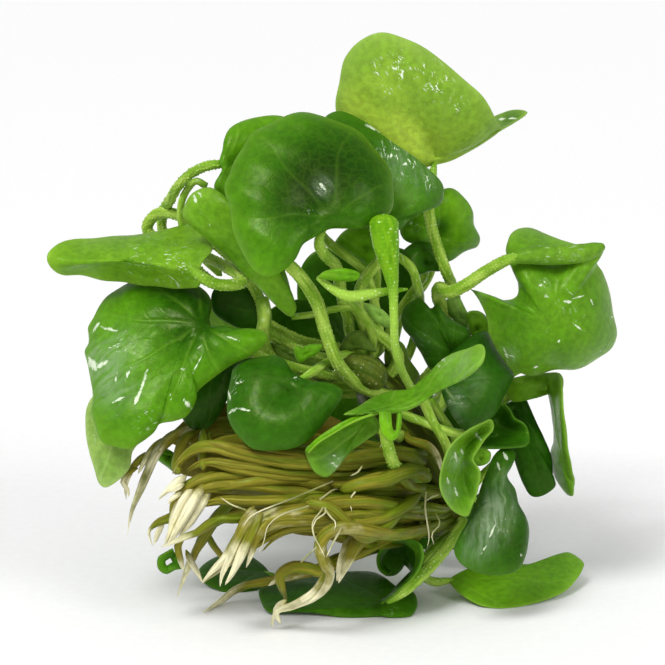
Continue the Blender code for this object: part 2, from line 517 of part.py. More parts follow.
def faces_out(points, faces):
    """The faces, turned over if they face inwards."""
    corners = points[faces]
    volume = np.sum(corners[:, 0] * np.cross(corners[:, 1], corners[:, 2]))
    return faces[:, ::-1] if volume < 0 else faces


def crown_middle():
    """Points close together along the crown's middle, and the crown's radius at each."""
    places = seen(CROWN["path"])
    middle = curve_through(places, np.linspace(0, len(places) - 1, CURVE_STEPS * len(places)))
    length = np.r_[0, np.cumsum(np.linalg.norm(np.diff(middle, axis=0), axis=1))]
    radius = np.array(CROWN["radius"]) * MM
    return middle, np.interp(length / length[-1], np.linspace(0, 1, len(radius)), radius)


def down_to_crown(points):
    """The path with its last point set just off the crown's skin, where it arrives square to the skin."""
    middle, radius = crown_middle()
    distance = np.linalg.norm(points[-1] - middle, axis=1) - radius
    nearest = np.argmin(distance)
    out = unit(points[-1] - middle[nearest])
    skin = middle[nearest] + out * (radius[nearest] + GAP)
    return np.vstack([points[:-1], skin + out * CROWN_APPROACH, skin])


def tube_solid(places, radius, sides, step=TUBE_STEP):
    """A closed round tube along the curve through the points, with the radii spread along it."""
    middle, along = even_points(places, step)
    count = len(middle)
    radii = np.interp(np.linspace(0, 1, count), np.linspace(0, 1, len(radius)), np.array(radius) * MM)
    side = np.zeros_like(middle)
    side[0] = unit(np.cross(along[0], RIGHT + UP))
    for ring in range(1, count):
        side[ring] = unit(side[ring - 1] - along[ring] * (side[ring - 1] @ along[ring]))
    angle = np.arange(sides) * 2 * pi / sides
    out = side[:, None] * np.cos(angle)[:, None] + np.cross(along, side)[:, None] * np.sin(angle)[:, None]
    points = (middle[:, None] + out * radii[:, None, None]).reshape(-1, 3)
    ring, place = np.meshgrid(np.arange(count - 1), np.arange(sides), indexing="ij")
    a = (ring * sides + place).ravel()
    b = (ring * sides + (place + 1) % sides).ravel()
    wall = np.vstack([np.stack([a, b, b + sides], 1), np.stack([a, b + sides, a + sides], 1)])
    fan = np.arange(1, sides - 1)
    start = np.stack([0 * fan, fan + 1, fan], 1)
    end = np.stack([0 * fan, fan, fan + 1], 1) + (count - 1) * sides
    faces = np.vstack([wall, start, end])
    return points, faces_out(points, faces)


def margin_points(leaf):
    """The margin's points in metres, and each one's share of the bow."""
    column, row = leaf["stalk"]
    across, up = leaf["lean"]
    places = []
    shares = []
    for place in leaf["margin"]:
        step = place[2] if len(place) > 2 else 0
        lean = across * (place[0] - column) + up * (row - place[1])
        places.append((place[0], place[1], leaf["near"] + lean * POINT_SIZE / MM + step))
        shares.append(place[3] if len(place) > 3 else 1)
    return seen(places), np.array(shares, float)


def blade_solid(leaf, rests=False):
    """A closed thin leaf: rings of points along the spokes, set apart by the thickness along the normals."""
    margin, shares = margin_points(leaf)
    count = len(margin)
    rings = leaf.get("rings", 2)
    hub = seen([leaf.get("hub", (*leaf["stalk"], leaf["near"]))])
    bow = (np.array(leaf["bow"]) * MM) @ np.array([RIGHT, UP, TOWARDS])
    length = np.linalg.norm(margin - hub, axis=1)
    shares = shares * np.minimum(length / length.mean(), 1)
    middle = [hub]
    for ring in range(1, rings + 1):
        out = ring / rings
        middle.append(hub + (margin - hub) * out + 4 * out * (1 - out) * shares[:, None] * bow)
    points = np.vstack(middle)
    half = LEAF_THICKNESS / 2
    grounded = points[:, 2] < half if rests else np.zeros(len(points), bool)
    points[grounded, 2] = half
    spoke = np.arange(count)
    after = (spoke + 1) % count
    faces = [np.stack([0 * spoke, 1 + spoke, 1 + after], 1)]
    for ring in range(1, rings):
        inner = 1 + (ring - 1) * count
        outer = inner + count
        faces.append(np.stack([inner + spoke, outer + spoke, outer + after], 1))
        faces.append(np.stack([inner + spoke, outer + after, inner + after], 1))
    faces = np.vstack(faces)
    corner = points[faces]
    face_normal = np.cross(corner[:, 1] - corner[:, 0], corner[:, 2] - corner[:, 0])
    normal = np.zeros_like(points)
    for place in range(3):
        np.add.at(normal, faces[:, place], face_normal)
    normal = unit(normal)
    normal[grounded] = np.array([0, 0, 1]) * np.sign(normal[grounded, 2:3])
    total = len(points)
    both = np.vstack([points + normal * half, points - normal * half])
    if rests:
        both[:, 2] = np.maximum(both[:, 2], 0)
    a = total - count + spoke
    b = total - count + after
    rim = np.vstack([np.stack([a, a + total, b + total], 1), np.stack([a, b + total, b], 1)])
    solid = np.vstack([faces, faces[:, ::-1] + total, rim])
    return both, faces_out(both, solid)


def linear(shade):
    """The colour as the shader takes it, from 0-255 values as the eye reads them."""
    part = np.array(SHADES[shade]) / 255
    return (*np.where(part <= 0.04045, part / 12.92, ((part + 0.055) / 1.055) ** 2.4), 1.0)


def finish(name, shade, kind):
    material = bpy.data.materials.new(name)
    material.use_nodes = True
    shader = material.node_tree.nodes["Principled BSDF"]
    shader.inputs["Base Color"].default_value = linear(shade)
    shader.inputs["Roughness"].default_value = GLOSS[kind]
    shader.inputs["Metallic"].default_value = 0
    return material


def make_object(name, solid, material=None):
    points, faces = solid
    mesh = bpy.data.meshes.new(name)
    mesh.from_pydata(points.tolist(), [], faces.tolist())
    mesh.shade_smooth()
    mesh.set_sharp_from_angle(angle=ROUND_EDGE_ANGLE)
    if material:
        mesh.materials.append(material)
    obj = bpy.data.objects.new(name, mesh)
    bpy.context.scene.collection.objects.link(obj)
    return obj


def grow_together(body, name, solid):
    """Makes the solid one with the body, by a union with a hidden guide."""
    guide = make_object(name, solid)
    guide.hide_render = True
    guide.display_type = "WIRE"
    joint = body.modifiers.new(name, "BOOLEAN")
    joint.operation = "UNION"
    joint.solver = "EXACT"
    joint.object = guide


def stem_solid(start, leaf):
    return tube_solid(down_to_crown(seen([start, *leaf["stem"]])), [STEM_RADIUS], STALK_SIDES)


def make_leaf(name, leaf):
    body = make_object(name, blade_solid(leaf, leaf.get("rests", False)), finish(name, leaf["shade"], "leaf"))
    for count, lobe in enumerate(leaf.get("lobes", [])):
        grow_together(body, f"{name}_lobe_{count}", blade_solid(lobe))
    if "stem" in leaf:
        joint = leaf.get("joint", (*leaf["stalk"], leaf["near"]))
        grow_together(body, name + "_stem", stem_solid(joint, leaf))


def make_rolled_leaf(name, leaf):
    points = seen(leaf["path"])
    if leaf.get("from_crown", False):
        points = down_to_crown(points[::-1])[::-1]
    solid = tube_solid(points, leaf["radius"], ROOT_SIDES)
    body = make_object(name, solid, finish(name, leaf["shade"], "leaf"))
    if "stem" in leaf:
        grow_together(body, name + "_stem", stem_solid(leaf["path"][2], leaf))


def make_crown():
    solid = tube_solid(seen(CROWN["path"]), CROWN["radius"], CROWN_SIDES, CROWN_STEP)
    make_object("crown", solid, finish("crown", "crown_brown", "crown"))


def make_stalk(name, stalk):
    solid = tube_solid(down_to_crown(seen(stalk["path"])), stalk["radius"], STALK_SIDES)
    make_object(name, solid, finish(name, "stalk_green", "stalk"))


def make_root(name, root):
    """A root grows from the crown, or forks off another root."""
    points = seen(root["path"])
    if not root.get("fork", False):
        points = down_to_crown(points[::-1])[::-1]
    make_object(name, tube_solid(points, root["radius"], ROOT_SIDES), finish(name, "root_olive", "root"))


def main():
    clear_scene()
    make_crown()
    for name, leaf in LEAVES.items():
        make_leaf(name, leaf)
    for name, leaf in ROLLED_LEAVES.items():
        make_rolled_leaf(name, leaf)
    for name, stalk in STALKS.items():
        make_stalk(name, stalk)
    for name, root in ROOTS.items():
        make_root(name, root)


main()
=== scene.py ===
"""Floating heart: the looks of a small water plant lifted out of its pond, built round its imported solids.

Places are read in the plant's front view: a place is (column, row, near). Column and row count the view's
picture points from its top left corner, and near is how many millimetres the place stands in front of the
plant's middle, towards the viewer. Every leaf, stalk and root follows the path or outline of its solid and
takes its place. Radii in the tables are in millimetres.
"""
import bpy
import numpy as np
from math import atan, cos, pi, radians, sin
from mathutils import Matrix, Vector


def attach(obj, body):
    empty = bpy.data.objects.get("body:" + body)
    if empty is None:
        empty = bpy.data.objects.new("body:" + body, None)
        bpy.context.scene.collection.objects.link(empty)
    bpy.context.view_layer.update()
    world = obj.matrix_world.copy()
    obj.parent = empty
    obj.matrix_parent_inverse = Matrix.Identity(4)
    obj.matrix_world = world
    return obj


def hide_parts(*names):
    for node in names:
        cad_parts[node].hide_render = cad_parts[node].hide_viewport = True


MM = 0.001

# The front view: its width in metres and in picture points, how far off the eye is, how far it looks down.
VIEW_WIDTH = 0.16625
VIEW_COLUMNS = 665
VIEW_DISTANCE = 0.7
VIEW_TILT = radians(12)
RIGHT = np.array([1.0, 0.0, 0.0])
UP = np.array([0.0, sin(VIEW_TILT), cos(VIEW_TILT)])
TOWARDS = np.array([0.0, -cos(VIEW_TILT), sin(VIEW_TILT)])
VIEW_CENTRE = np.array([-0.0012, -0.0045, 0.0702])
MIDDLE = VIEW_COLUMNS / 2
POINT_SIZE = VIEW_WIDTH / VIEW_COLUMNS

# Blades: their thickness, the step between their points, the power with which a blade leaves its own plane
# and how far above the ground the lowest point of a leaf lies. Then how far, in millimetres, a blade bulges
# between its veins, ripples and turns down at the margin where its leaf doesn't say, and the same for a lobe.
BLADE_THICKNESS = 0.0006
BLADE_STEP = 0.00055
BLADE_RISE = 1.18
GROUND_GAP = 0.00002
USUAL_QUILT = 0.3
USUAL_WAVE = 0.5
USUAL_CURL = 0.3
LOBE_LOOK = dict(quilt=0.08, wave=0.1, curl=0.1)

# Bands: points along and across, and the width in millimetres that their grain takes them for.
BAND_POINTS = 90
BAND_ROWS = 14
BAND_WIDTH = 6

# Veins: how many fan out in half a turn, how wide one is at the stalk, how much narrower at the margin, how
# wide a side vein is, how far apart side veins stand, how much they slant and how long a main one's sway is.
MAIN_VEINS = 4
VEIN_WIDTH = 0.42 * MM
VEIN_THINNING = 0.22 * MM
SIDE_VEIN_WIDTH = 0.3 * MM
SIDE_VEIN_SPACING = 5.2 * MM
SIDE_VEIN_SLANT = 1.9
VEIN_SWAY = 3.1 * MM

# Waves of a blade: how many, the longest of them, and how they are kept soft round the hub.
WAVE_COUNT = 7
LONGEST_WAVE = 21 * MM
RISE_WAVES = 3
BOW_WAVES = 5

# Tubes: sides round and step along for plain stalks, stalks seen close, root strands and hair roots.
PLAIN_SIDES = 14
PLAIN_STEP = 0.9 * MM
FINE_SIDES = 44
FINE_STEP = 0.26 * MM
STRAND_SIDES = 9
STRAND_STEP = 1.1 * MM
HAIR_SIDES = 5
HAIR_STEP = 1.2 * MM
CURVE_STEPS = 24
BUNDLE_STEP = 3.5 * MM

# Ends: over what length a stalk or a single root grows from its start, how round the far end is, how far a
# stalk runs into its leaf and how far ahead of itself it aims at the crown.
STALK_START = 5 * MM
TIP_START = 3 * MM
ROUND_END = 0.7
STALK_OVERLAP = 1.2 * MM
CROWN_REACH = 4 * MM
CROWN_STEP = 1 * MM

# The radius of a leaf's own stem and of a hair root along it, in millimetres, and what share of its solid's
# radius a stalk has.
STEM_RADIUS = 1.15
HAIR_RADIUS = [0.22, 0.26, 0.2, 0.1]
STALK_SHARE = 0.9

# Papillae: how far apart they stand, how wide each is as a share of that, and their height in millimetres.
PAPILLA_SPACING = 0.9 * MM
PAPILLA_REACH = 0.32
SMALL_PAPILLA = 0.05
STEM_PAPILLA = 0.06
STUMP_PAPILLA = 0.1
YOUNG_PAPILLA = 0.12

# Ridges that wind round a tube: how deep they are as a share of its radius, and how fast they wind and beat
# along it, in radians to the metre.
YOUNG_RIDGE = 0.012
STUMP_RIDGE = 0.03
CROWN_RIDGE = 0.035
STRAND_RIDGE = 0.07
SINGLE_RIDGE = 0.08
HAIR_RIDGE = 0.12
RIDGE_WIND = 160
RIDGE_BEAT = 900

# Root bundles: how far a strand winds round its bundle and wanders from its way, in radians, how far out an
# inner strand lies, and how far the colours of the mat's strands run towards the pale tip.
STRAND_TURN = 2.2
STRAND_WANDER = 0.5
INNER_DEPTH = 0.35
MAT_PALING = 0.6

# First numbers of the random draws of each kind of piece, how many numbers a root has for its strands, what
# is added for papillae, and how far each number shifts the grain of a tube.
LEAF_SEED = 3
YOUNG_SEED = 5
CROWN_SEED = 11
MAT_SEED = 40
SINGLE_SEED = 300
HAIR_SEED = 500
STRANDS_A_ROOT = 20
PAPILLA_SEEDS = 1000
GRAIN_SHIFT = 3.7

# The studio: where its lights look, how wide the suns and the small light are and how bright the sky is.
PLANT_MIDDLE = (0, 0, 0.07)
SUN_ANGLE = radians(26)
GLINT_SIZE = 0.12
SKY_STRENGTH = 0.45

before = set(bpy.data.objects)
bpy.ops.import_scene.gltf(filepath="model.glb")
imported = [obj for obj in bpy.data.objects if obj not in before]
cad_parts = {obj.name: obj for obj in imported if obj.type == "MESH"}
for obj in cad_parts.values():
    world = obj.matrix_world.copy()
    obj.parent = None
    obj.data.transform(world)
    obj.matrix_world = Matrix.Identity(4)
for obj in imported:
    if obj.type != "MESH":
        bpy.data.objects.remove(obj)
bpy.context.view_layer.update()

# stalk: where the stalk joins, near: how near that is, lean: millimetres nearer for each millimetre to the
# right and upwards. A margin place is (column, row), then how much nearer than the leaning plane, then its
# share of the bow. bow: how far the spokes bulge towards the viewer in millimetres, bow_up: how far upwards.
# hub: where the spokes meet, if not at the stalk. stem: a stalk grown in one with the blade. joint: where the
# stem starts, if not at the stalk. lobes: parts of the same leaf that curl or fold by themselves. rests: the
# blade lies on the ground and is flat there. upper: its upper side faces the viewer. veins: main veins in
# half a turn, vein: how plain they are. quilt, wave and curl: how far, in millimetres, it bulges between
# veins, ripples, and turns down at the margin. rise: the power with which it leaves its own plane. origin:
# where its veins start, tip: where the middle one ends. tone_and_shade: spots lighter or darker, partly the
# leaf's own colour and partly painted shade and painted light; sheen: spots of painted grey reflection;
# painted_glint: spots of painted white highlight, specks and streaks as of light on water; each (column,
# row, reach, strength). gleam: painted white highlight strokes, each (column, row, column, row, reach).
LEAVES = {
    "top_leaf": dict(shade="yellow_green", stalk=(436, 157), near=0, lean=(0, 0.5), bow=5, margin=[(430, 164),
        (405, 170), (372, 162), (347, 140), (337, 108), (341, 82), (347, 57), (360, 42), (380, 33.5),
        (402, 38.5), (426, 51), (452, 71), (476, 92), (487, 106), (494, 119, -1), (498, 129, -5, 0.5),
        (470, 147, -3.5, 0.5), (450, 158, -1.5, 0.5)], lobes=[dict(stalk=(436, 157), near=0, lean=(0, 0.5),
        bow=0, hub=(490, 126, -9), margin=[(442, 158), (470, 150, -2), (500, 131, -4), (514, 123, -11),
        (527, 113, -16), (512, 111, -20), (485, 122, -19), (462, 138, -12)])], upper=False, quilt=0.16,
        curl=0.5, origin=(432, 160), tip=(365, 60), tone_and_shade=[(352, 110, 34, 0.45), (400, 152, 44, 0.9),
        (440, 125, 40, -0.05), (513, 119, 14, -0.9)], vein=0.5, painted_glint=[(378, 68, 7, 1.6), (399, 63, 9, 2.2),
        (408, 76, 9, 2), (431, 70, 8, 2.2), (434, 92, 8, 2), (388, 90, 7, 1.4), (457, 104, 7, 1.6),
        (444, 80, 7, 1.5)], gleam=[(498, 119.5, 505, 118.5, 1.3), (509, 118.5, 517, 118, 1.3),
        (383, 66, 390, 78, 0.9)]),
    "behind_front_leaf": dict(shade="dark_green", stalk=(374, 222), near=15, lean=(-0.3, -0.15), bow=4,
        margin=[(366, 228), (345, 215), (324, 190), (315, 160), (316, 135), (326, 116), (340, 110.5),
        (365, 121), (390, 140.5), (415, 157), (432, 171), (443, 183), (445, 193), (441, 205), (428, 211),
        (412, 218), (400, 230), (386, 233)], veins=5, quilt=0.2, wave=0.4, curl=0.4, origin=(378, 226),
        tip=(385, 130), tone_and_shade=[(415, 185, 42, 0.7), (345, 135, 30, 0.1)], sheen=[(400, 162, 18, 0.3),
        (425, 178, 14, 0.2)], painted_glint=[(392, 152, 11, 1.3), (408, 164, 11, 1.3), (428, 180, 8, 1)], vein=0.6,
        gleam=[(360, 122, 384, 134, 1.1), (384, 134, 404, 147, 1.2), (404, 147, 416, 155, 1)]),
    "front_leaf": dict(shade="middle_green", stalk=(331, 222), near=30, lean=(-0.1, -0.3), bow=3,
        hub=(314, 212, 31.5), margin=[(321, 236), (305, 247), (293, 264), (286, 272), (272, 278), (256, 273),
        (243, 258), (234, 238), (229, 212), (224, 188), (228, 172), (238, 152), (249, 136), (263, 125),
        (281, 116.5), (301, 110), (322, 114), (343, 121), (362, 131), (378, 148), (390, 168), (396, 190),
        (395, 207), (388, 219), (370, 228), (348, 231), (330, 232)], quilt=0.22, wave=0.8, curl=0.9,
        origin=(331, 222), tip=(262, 140), rise=1.35, tone_and_shade=[(352, 170, 56, -2.3), (310, 180, 30, -1.7),
        (286, 214, 28, -1.2), (270, 170, 50, -0.5)], sheen=[(323, 187, 9, 0.4)], vein=0.45,
        painted_glint=[(323, 187, 7, 0.8), (311, 212, 4, 0.8)], gleam=[(320, 184, 326, 189, 2)]),
    "upper_left_leaf": dict(shade="middle_green", stalk=(232, 164), near=17, lean=(-0.3, -0.2), bow=2,
        margin=[(219, 163), (222, 150), (224, 139), (231, 128), (250, 118), (275, 115), (295, 122),
        (304, 150), (295, 185), (265, 205), (235, 206), (214, 188), (218, 176), (221, 169)], quilt=0.25,
        origin=(222, 165), tip=(290, 140)),
    "left_inner_leaf": dict(shade="fresh_green", stalk=(266, 250), near=20, lean=(0.1, 0.2), bow=3,
        margin=[(280, 256, 0, 0), (287, 273, 0, 0.4), (291, 290), (297, 309), (291, 317), (282, 313),
        (270, 301), (257, 285), (240, 271), (222, 255), (204, 239), (190, 227), (183, 216), (186, 203),
        (192, 193), (203, 187), (214, 187), (228, 198), (250, 215), (268, 232)], quilt=0.22, wave=0.6,
        origin=(270, 254), tip=(190, 200), tone_and_shade=[(205, 215, 30, 0.1), (240, 250, 50, -0.2),
        (250, 262, 14, -0.3)], painted_glint=[(291, 300, 4, 0.7), (195, 200, 8, 1.6)], vein=0.5,
        gleam=[(194, 196, 196, 204, 2), (208, 223, 211, 226, 1.6)]),
    "left_rolled_leaf": dict(shade="bright_green", stalk=(190, 266), near=20, lean=(0.15, 0),
        margin=[(201, 266, 0, 0), (199, 285, -4, 0), (180, 286, -8, 0.6), (155, 284.5, -10), (128, 281, -11),
        (105, 278, -10), (80, 273.5, -8), (62, 272.5, -5), (52, 266, -2), (48, 257, -1), (56, 248, -4),
        (75, 242, -9), (110, 239, -15), (148, 235, -19), (175, 229, -20), (192, 226, -17),
        (204, 238, -10, 0.3), (212, 251, -4, 0)], upper=False, veins=5, quilt=0.06, wave=0.6, curl=0.5,
        origin=(196, 266), tip=(52, 256), rise=2, hub=(128, 261, 18), bow=0.6, vein=0.3,
        tone_and_shade=[(130, 262, 90, -0.12), (80, 268, 24, -0.1)], painted_glint=[(150, 262, 22, 0.7), (178, 268, 16, 1.1)]),
    "left_glossy_leaf": dict(shade="middle_green", stalk=(203, 328), near=12, lean=(0.2, -0.45), bow=3,
        hub=(184, 342, 15), margin=[(213, 325), (230, 325), (250, 327), (263, 329), (268, 338), (262, 348),
        (245, 360), (228, 369), (212, 380), (198, 393), (197, 404), (188, 416), (176, 421), (160, 424),
        (155, 432), (145, 441), (130, 449), (115, 447), (102, 442), (95, 430), (91, 412), (92, 400),
        (90, 380), (85, 362), (84, 350), (88, 342), (86, 326), (93, 315), (100, 304), (109, 293), (128, 281),
        (152, 278), (180, 280), (204, 288), (213, 305)], veins=5, quilt=0.4, wave=0.8, curl=0.6,
        origin=(205, 330), tip=(100, 400), tone_and_shade=[(190, 312, 40, -2), (250, 345, 22, 0.25),
        (190, 372, 28, 0.05), (140, 400, 50, -0.15)], sheen=[(113, 385, 22, 0.4), (98, 360, 16, 0.4),
        (120, 345, 18, 0.25)], painted_glint=[(120, 350, 16, 0.5), (150, 420, 14, 0.4)], gleam=[(89, 358, 96, 371, 4),
        (97, 368, 107, 361, 2.6), (125, 381, 131, 367, 1.5), (134, 405, 141, 390, 2.1),
        (141, 390, 147, 370, 1.8), (112, 403, 126, 396, 1.5), (114, 388, 118, 370, 1),
        (100, 327, 117, 331, 1.8), (92, 333, 100, 321, 1.5), (184, 400, 192, 409, 1.8),
        (117, 415, 118, 416, 1.4), (181, 369, 187, 369, 1), (108, 349, 120, 343, 1.2),
        (128, 345, 133, 342, 1), (170, 392, 171, 400, 0.8), (196, 350, 203, 344, 0.8),
        (226, 336, 240, 341, 1), (192, 374, 204, 352, 0.7)]),
    "left_pale_leaf": dict(shade="pale_green", stalk=(128, 400), near=5, lean=(0.3, -0.3), bow=2,
        hub=(117, 422, 7), margin=[(134, 393), (147, 404), (147, 428), (131, 452), (129, 467), (120, 478),
        (106, 486.5), (101, 484), (96, 470), (90, 450), (87, 430), (88, 408), (98, 394), (120, 388)],
        stem=[(150, 398, 3), (220, 395, -2), (300, 392, -6), (350, 394, -7)], upper=False, origin=(130, 398),
        tip=(110, 484), tone_and_shade=[(105, 450, 60, -0.25)], painted_glint=[(97, 430, 14, 0.6)]),
    "centre_leaf": dict(shade="dark_green", stalk=(298, 379), near=19, lean=(0.1, -0.4), bow=3,
        hub=(288, 391, 21), margin=[(305, 377), (318, 381), (332, 383), (342, 389), (343, 395), (337, 407),
        (325, 424), (312, 438), (298, 447), (275, 451), (252, 449), (238, 438), (230, 425), (226, 412),
        (226, 398), (230, 380), (233, 367), (242, 359), (258, 356), (274, 354), (286, 359), (295, 370)],
        stem=[(306, 376, 18), (320, 367, 13), (334, 359, 8), (344, 355, 6.5), (352, 356, 4.8)], quilt=0.2,
        wave=0.6, curl=0.5, origin=(300, 378), tip=(250, 440), rise=2.2, tone_and_shade=[(275, 415, 70, -0.4),
        (255, 435, 40, 0.3), (330, 395, 18, 0.3)], vein=0.4, painted_glint=[(235, 385, 8, 0.6), (296, 378, 4, 0.5)],
        gleam=[(229, 413, 237, 408, 2), (237, 408, 251, 411, 1.3), (228, 390, 231, 402, 1.2),
        (235, 384, 244, 381, 1), (293, 378, 298, 377, 1)]),
    "left_dark_leaf": dict(shade="deep_green", stalk=(222, 352), near=8, lean=(0.3, 0.1), bow=1.5,
        margin=[(232, 346), (240, 362), (234, 385), (227, 402), (218, 418), (208, 428), (198, 430),
        (188, 426), (181, 415), (182, 395), (190, 372), (202, 354), (214, 346)], stem=[(235, 360, 4),
        (280, 379, 0), (325, 386, -2), (349, 386, -2)], veins=3, quilt=0.25, origin=(222, 354),
        tip=(200, 428), tone_and_shade=[(205, 405, 30, 0.4)]),
    "young_leaf": dict(shade="fresh_green", stalk=(388, 408), near=29, lean=(0.1, 0), bow=2,
        hub=(414, 396, 26), margin=[(387, 414), (370, 413), (357, 414.5), (344, 414), (358, 406, -2),
        (372, 397, -6), (392, 390.5, -8), (410, 389, -8), (425, 377, -7), (436, 364, -5), (452, 353, -2),
        (468, 348), (480, 344, 2), (484, 351, 4), (482, 363, 5), (472, 374, 4), (452, 384, 2), (438, 392, 1),
        (430, 398), (415, 407), (402, 412)], veins=3, quilt=0.12, wave=0.3, origin=(388, 410), tip=(480, 350),
        rise=1.4, tone_and_shade=[(365, 402, 28, -0.7), (425, 398, 40, -0.3)], sheen=[(460, 364, 20, 0.25)],
        painted_glint=[(443, 360, 5, 0.8)], gleam=[(440, 356, 445, 362, 1.8), (437, 364, 441, 368, 1)]),
    "young_leaf_lower": dict(shade="fresh_green", stalk=(374, 423), near=23.5, lean=(0.1, 0),
        hub=(366, 421, 23.5), margin=[(379, 429), (366, 440), (352, 451), (342, 463), (334, 472), (326, 477),
        (316, 473), (309, 463), (306, 455), (309, 447, 4), (330, 435, 6), (350, 424, 5), (366, 417, 3),
        (375, 417, 1)], stem=[(378, 428, 20), (386, 432, 15), (394, 435, 9), (399, 438, 3.4)], quilt=0.12,
        origin=(376, 421), tip=(312, 462), bow=1.2, tone_and_shade=[(340, 450, 44, -0.75)], sheen=[(334, 462, 10, 0.3)],
        painted_glint=[(334, 462, 8, 0.3)], gleam=[(326, 459, 340, 468, 1.1), (333, 455, 343, 462, 0.8)]),
    "right_leaf": dict(shade="fresh_green", stalk=(524, 252), near=9, lean=(0, 0), bow=2.5,
        hub=(548, 325, 8.5), margin=[(505, 251, -6), (508, 238, -7), (516, 229, -10), (530, 227.5, -13),
        (545, 232, -14), (560, 238, -10), (576, 243, -4), (592, 243.5, -1), (604, 244.5, -2), (604, 251, -3),
        (597, 262, -6), (603, 273, -9), (611, 293, -12), (615, 315, -14), (618, 335, -15), (612, 351, -15),
        (598, 361, -14), (577, 369, -13), (555, 371, -12), (533, 377, -11), (513, 370, -7), (499, 353, -5),
        (489, 335, -4), (486, 318, -4), (478, 301, -5), (470, 288, -7), (485, 291.5, -6), (503, 298, -4),
        (516, 296, -3), (518, 284, -3)], quilt=0.16, wave=0.7, curl=0.5, origin=(518, 256), tip=(590, 350),
        tone_and_shade=[(550, 310, 80, -0.35), (580, 300, 34, 0.1), (505, 315, 24, -0.4)], rise=1.6, vein=0.45,
        painted_glint=[(566, 300, 9, 0.7), (545, 283, 6, 0.4), (580, 322, 8, 0.7), (508, 355, 8, 0.8)],
        gleam=[(543, 296, 549, 297, 1.8), (564, 301, 571, 302, 2), (572, 299, 583, 296, 1.2),
        (591, 299, 593, 305, 1), (573, 323, 583, 331, 0.9), (504, 348, 508, 358, 1.5),
        (534, 368, 538, 366, 1.8), (588, 350, 589, 351, 1.1), (600, 350, 601, 351, 1.1),
        (558, 342, 560, 340, 1.2), (536, 288, 548, 280, 0.8), (611, 316, 613, 318, 1)],
        sheen=[(508, 355, 9, 0.3), (478, 298, 7, 0.3)]),
    "right_back_leaf": dict(shade="middle_green", stalk=(436, 236), near=-10, lean=(-0.5, 0.3), bow=3,
        margin=[(430, 243), (418, 246), (404, 240), (400, 228), (410, 215), (425, 203), (440, 191),
        (453, 188.5), (466, 199), (473, 212), (474, 224), (481, 239), (478, 248), (463, 253), (447, 262),
        (438, 252)], stem=[(434, 252, -15), (428, 278, -20), (404, 308, -21), (396, 335, -18),
        (391, 360, -13)], quilt=0.25, origin=(434, 240), tip=(466, 212), tone_and_shade=[(455, 210, 30, 0.6),
        (441, 226, 8, -1.6)], painted_glint=[(415, 222, 7, 0.9)]),
    "right_back_dark_leaf": dict(shade="dark_green", stalk=(426, 262), near=-4.5, lean=(-0.4, -0.2), bow=2,
        margin=[(430, 272), (418, 275), (406, 270), (400, 257), (408, 246), (422, 241), (436, 245),
        (445, 256), (447, 267), (440, 272)], stem=[(424, 274, -9), (414, 290, -15), (400, 310, -16),
        (390, 330, -12), (383, 346, -8.5)], quilt=0.25, origin=(427, 264), tip=(410, 246)),
    "inner_bright_leaf": dict(shade="bright_green", stalk=(372, 258), near=0, lean=(0.2, 0.2), bow=1.5,
        hub=(364, 247, 0.5), margin=[(368, 267), (360, 262), (346, 252), (334, 245), (337, 238), (345, 231),
        (360, 226), (378, 230), (386, 245), (380, 262)], stem=[(376, 266, -4), (376, 290, -7.5),
        (371, 320, -8), (370, 341, -6)], veins=3, quilt=0.15, origin=(374, 260), tip=(345, 238),
        tone_and_shade=[(352, 245, 14, 0.2)]),
    "inner_right_leaf": dict(shade="dark_green", stalk=(452, 352), near=-5, lean=(0.2, 0.2), bow=3,
        margin=[(462, 360), (447, 374), (430, 370), (419, 352), (411, 338), (403, 328), (402, 313),
        (409, 303), (422, 299), (431, 308), (437, 302), (446, 314), (456, 322), (468, 330), (472, 346)],
        stem=[(443, 368, -5.5), (430, 384, -3.5), (419, 397, -3)], quilt=0.2, origin=(455, 355),
        tip=(412, 320), sheen=[(418, 345, 12, 0.15)], painted_glint=[(418, 345, 12, 0.4)]),
    "right_dark_leaf": dict(shade="deep_green", stalk=(452, 380), near=4, lean=(-0.35, -0.3), bow=3,
        margin=[(443, 378), (447, 358), (458, 345), (470, 337), (486, 331), (494, 345), (505, 362),
        (515, 374), (510, 387), (503, 400), (495, 415), (482, 426), (468, 432), (455, 422), (446, 406),
        (441, 390)], stem=[(446, 393, 1), (441, 408, 0), (431, 419, -2)], quilt=0.25, wave=0.6,
        origin=(446, 384), tip=(505, 375), tone_and_shade=[(490, 375, 34, 0.5)], sheen=[(456, 400, 9, 0.35),
        (455, 418, 8, 0.3), (475, 382, 9, 0.15)], vein=0.5, painted_glint=[(456, 400, 10, 0.3)]),
    "right_hanging_leaf": dict(shade="fresh_green", stalk=(552, 387), near=-10, lean=(0, 0.2), bow=1,
        hub=(562, 455, -10), margin=[(547, 377), (556, 373, 3), (560, 386, 8), (562, 402, 11), (563, 418, 12),
        (565.5, 440, 11), (568, 458, 9), (571, 472, 6), (574, 483, 3), (572, 496), (562, 490, -6),
        (553, 476, -9), (550, 452, -11), (554, 438, -12), (554, 420, -12), (551, 404, -10), (548, 390, -5)],
        stem=[(535, 386, -15), (510, 396, -22), (480, 420, -25), (458, 445, -23), (447, 458, -18.5)], veins=3,
        quilt=0.2, origin=(550, 382), tip=(572, 494), tone_and_shade=[(560, 440, 60, -0.3)]),
    "right_low_dark_leaf": dict(shade="deep_green", stalk=(514, 410), near=-18, lean=(0.3, 0.1), bow=3,
        margin=[(512, 401), (524, 397), (530, 408), (538, 424), (546, 441), (552, 455), (553, 474),
        (556, 485), (542, 496), (531, 496), (523, 485), (518, 472), (511, 455), (503, 440), (500, 420),
        (503, 407)], stem=[(502, 422, -28), (485, 446, -29), (470, 466, -25), (458, 478, -19)], quilt=0.25,
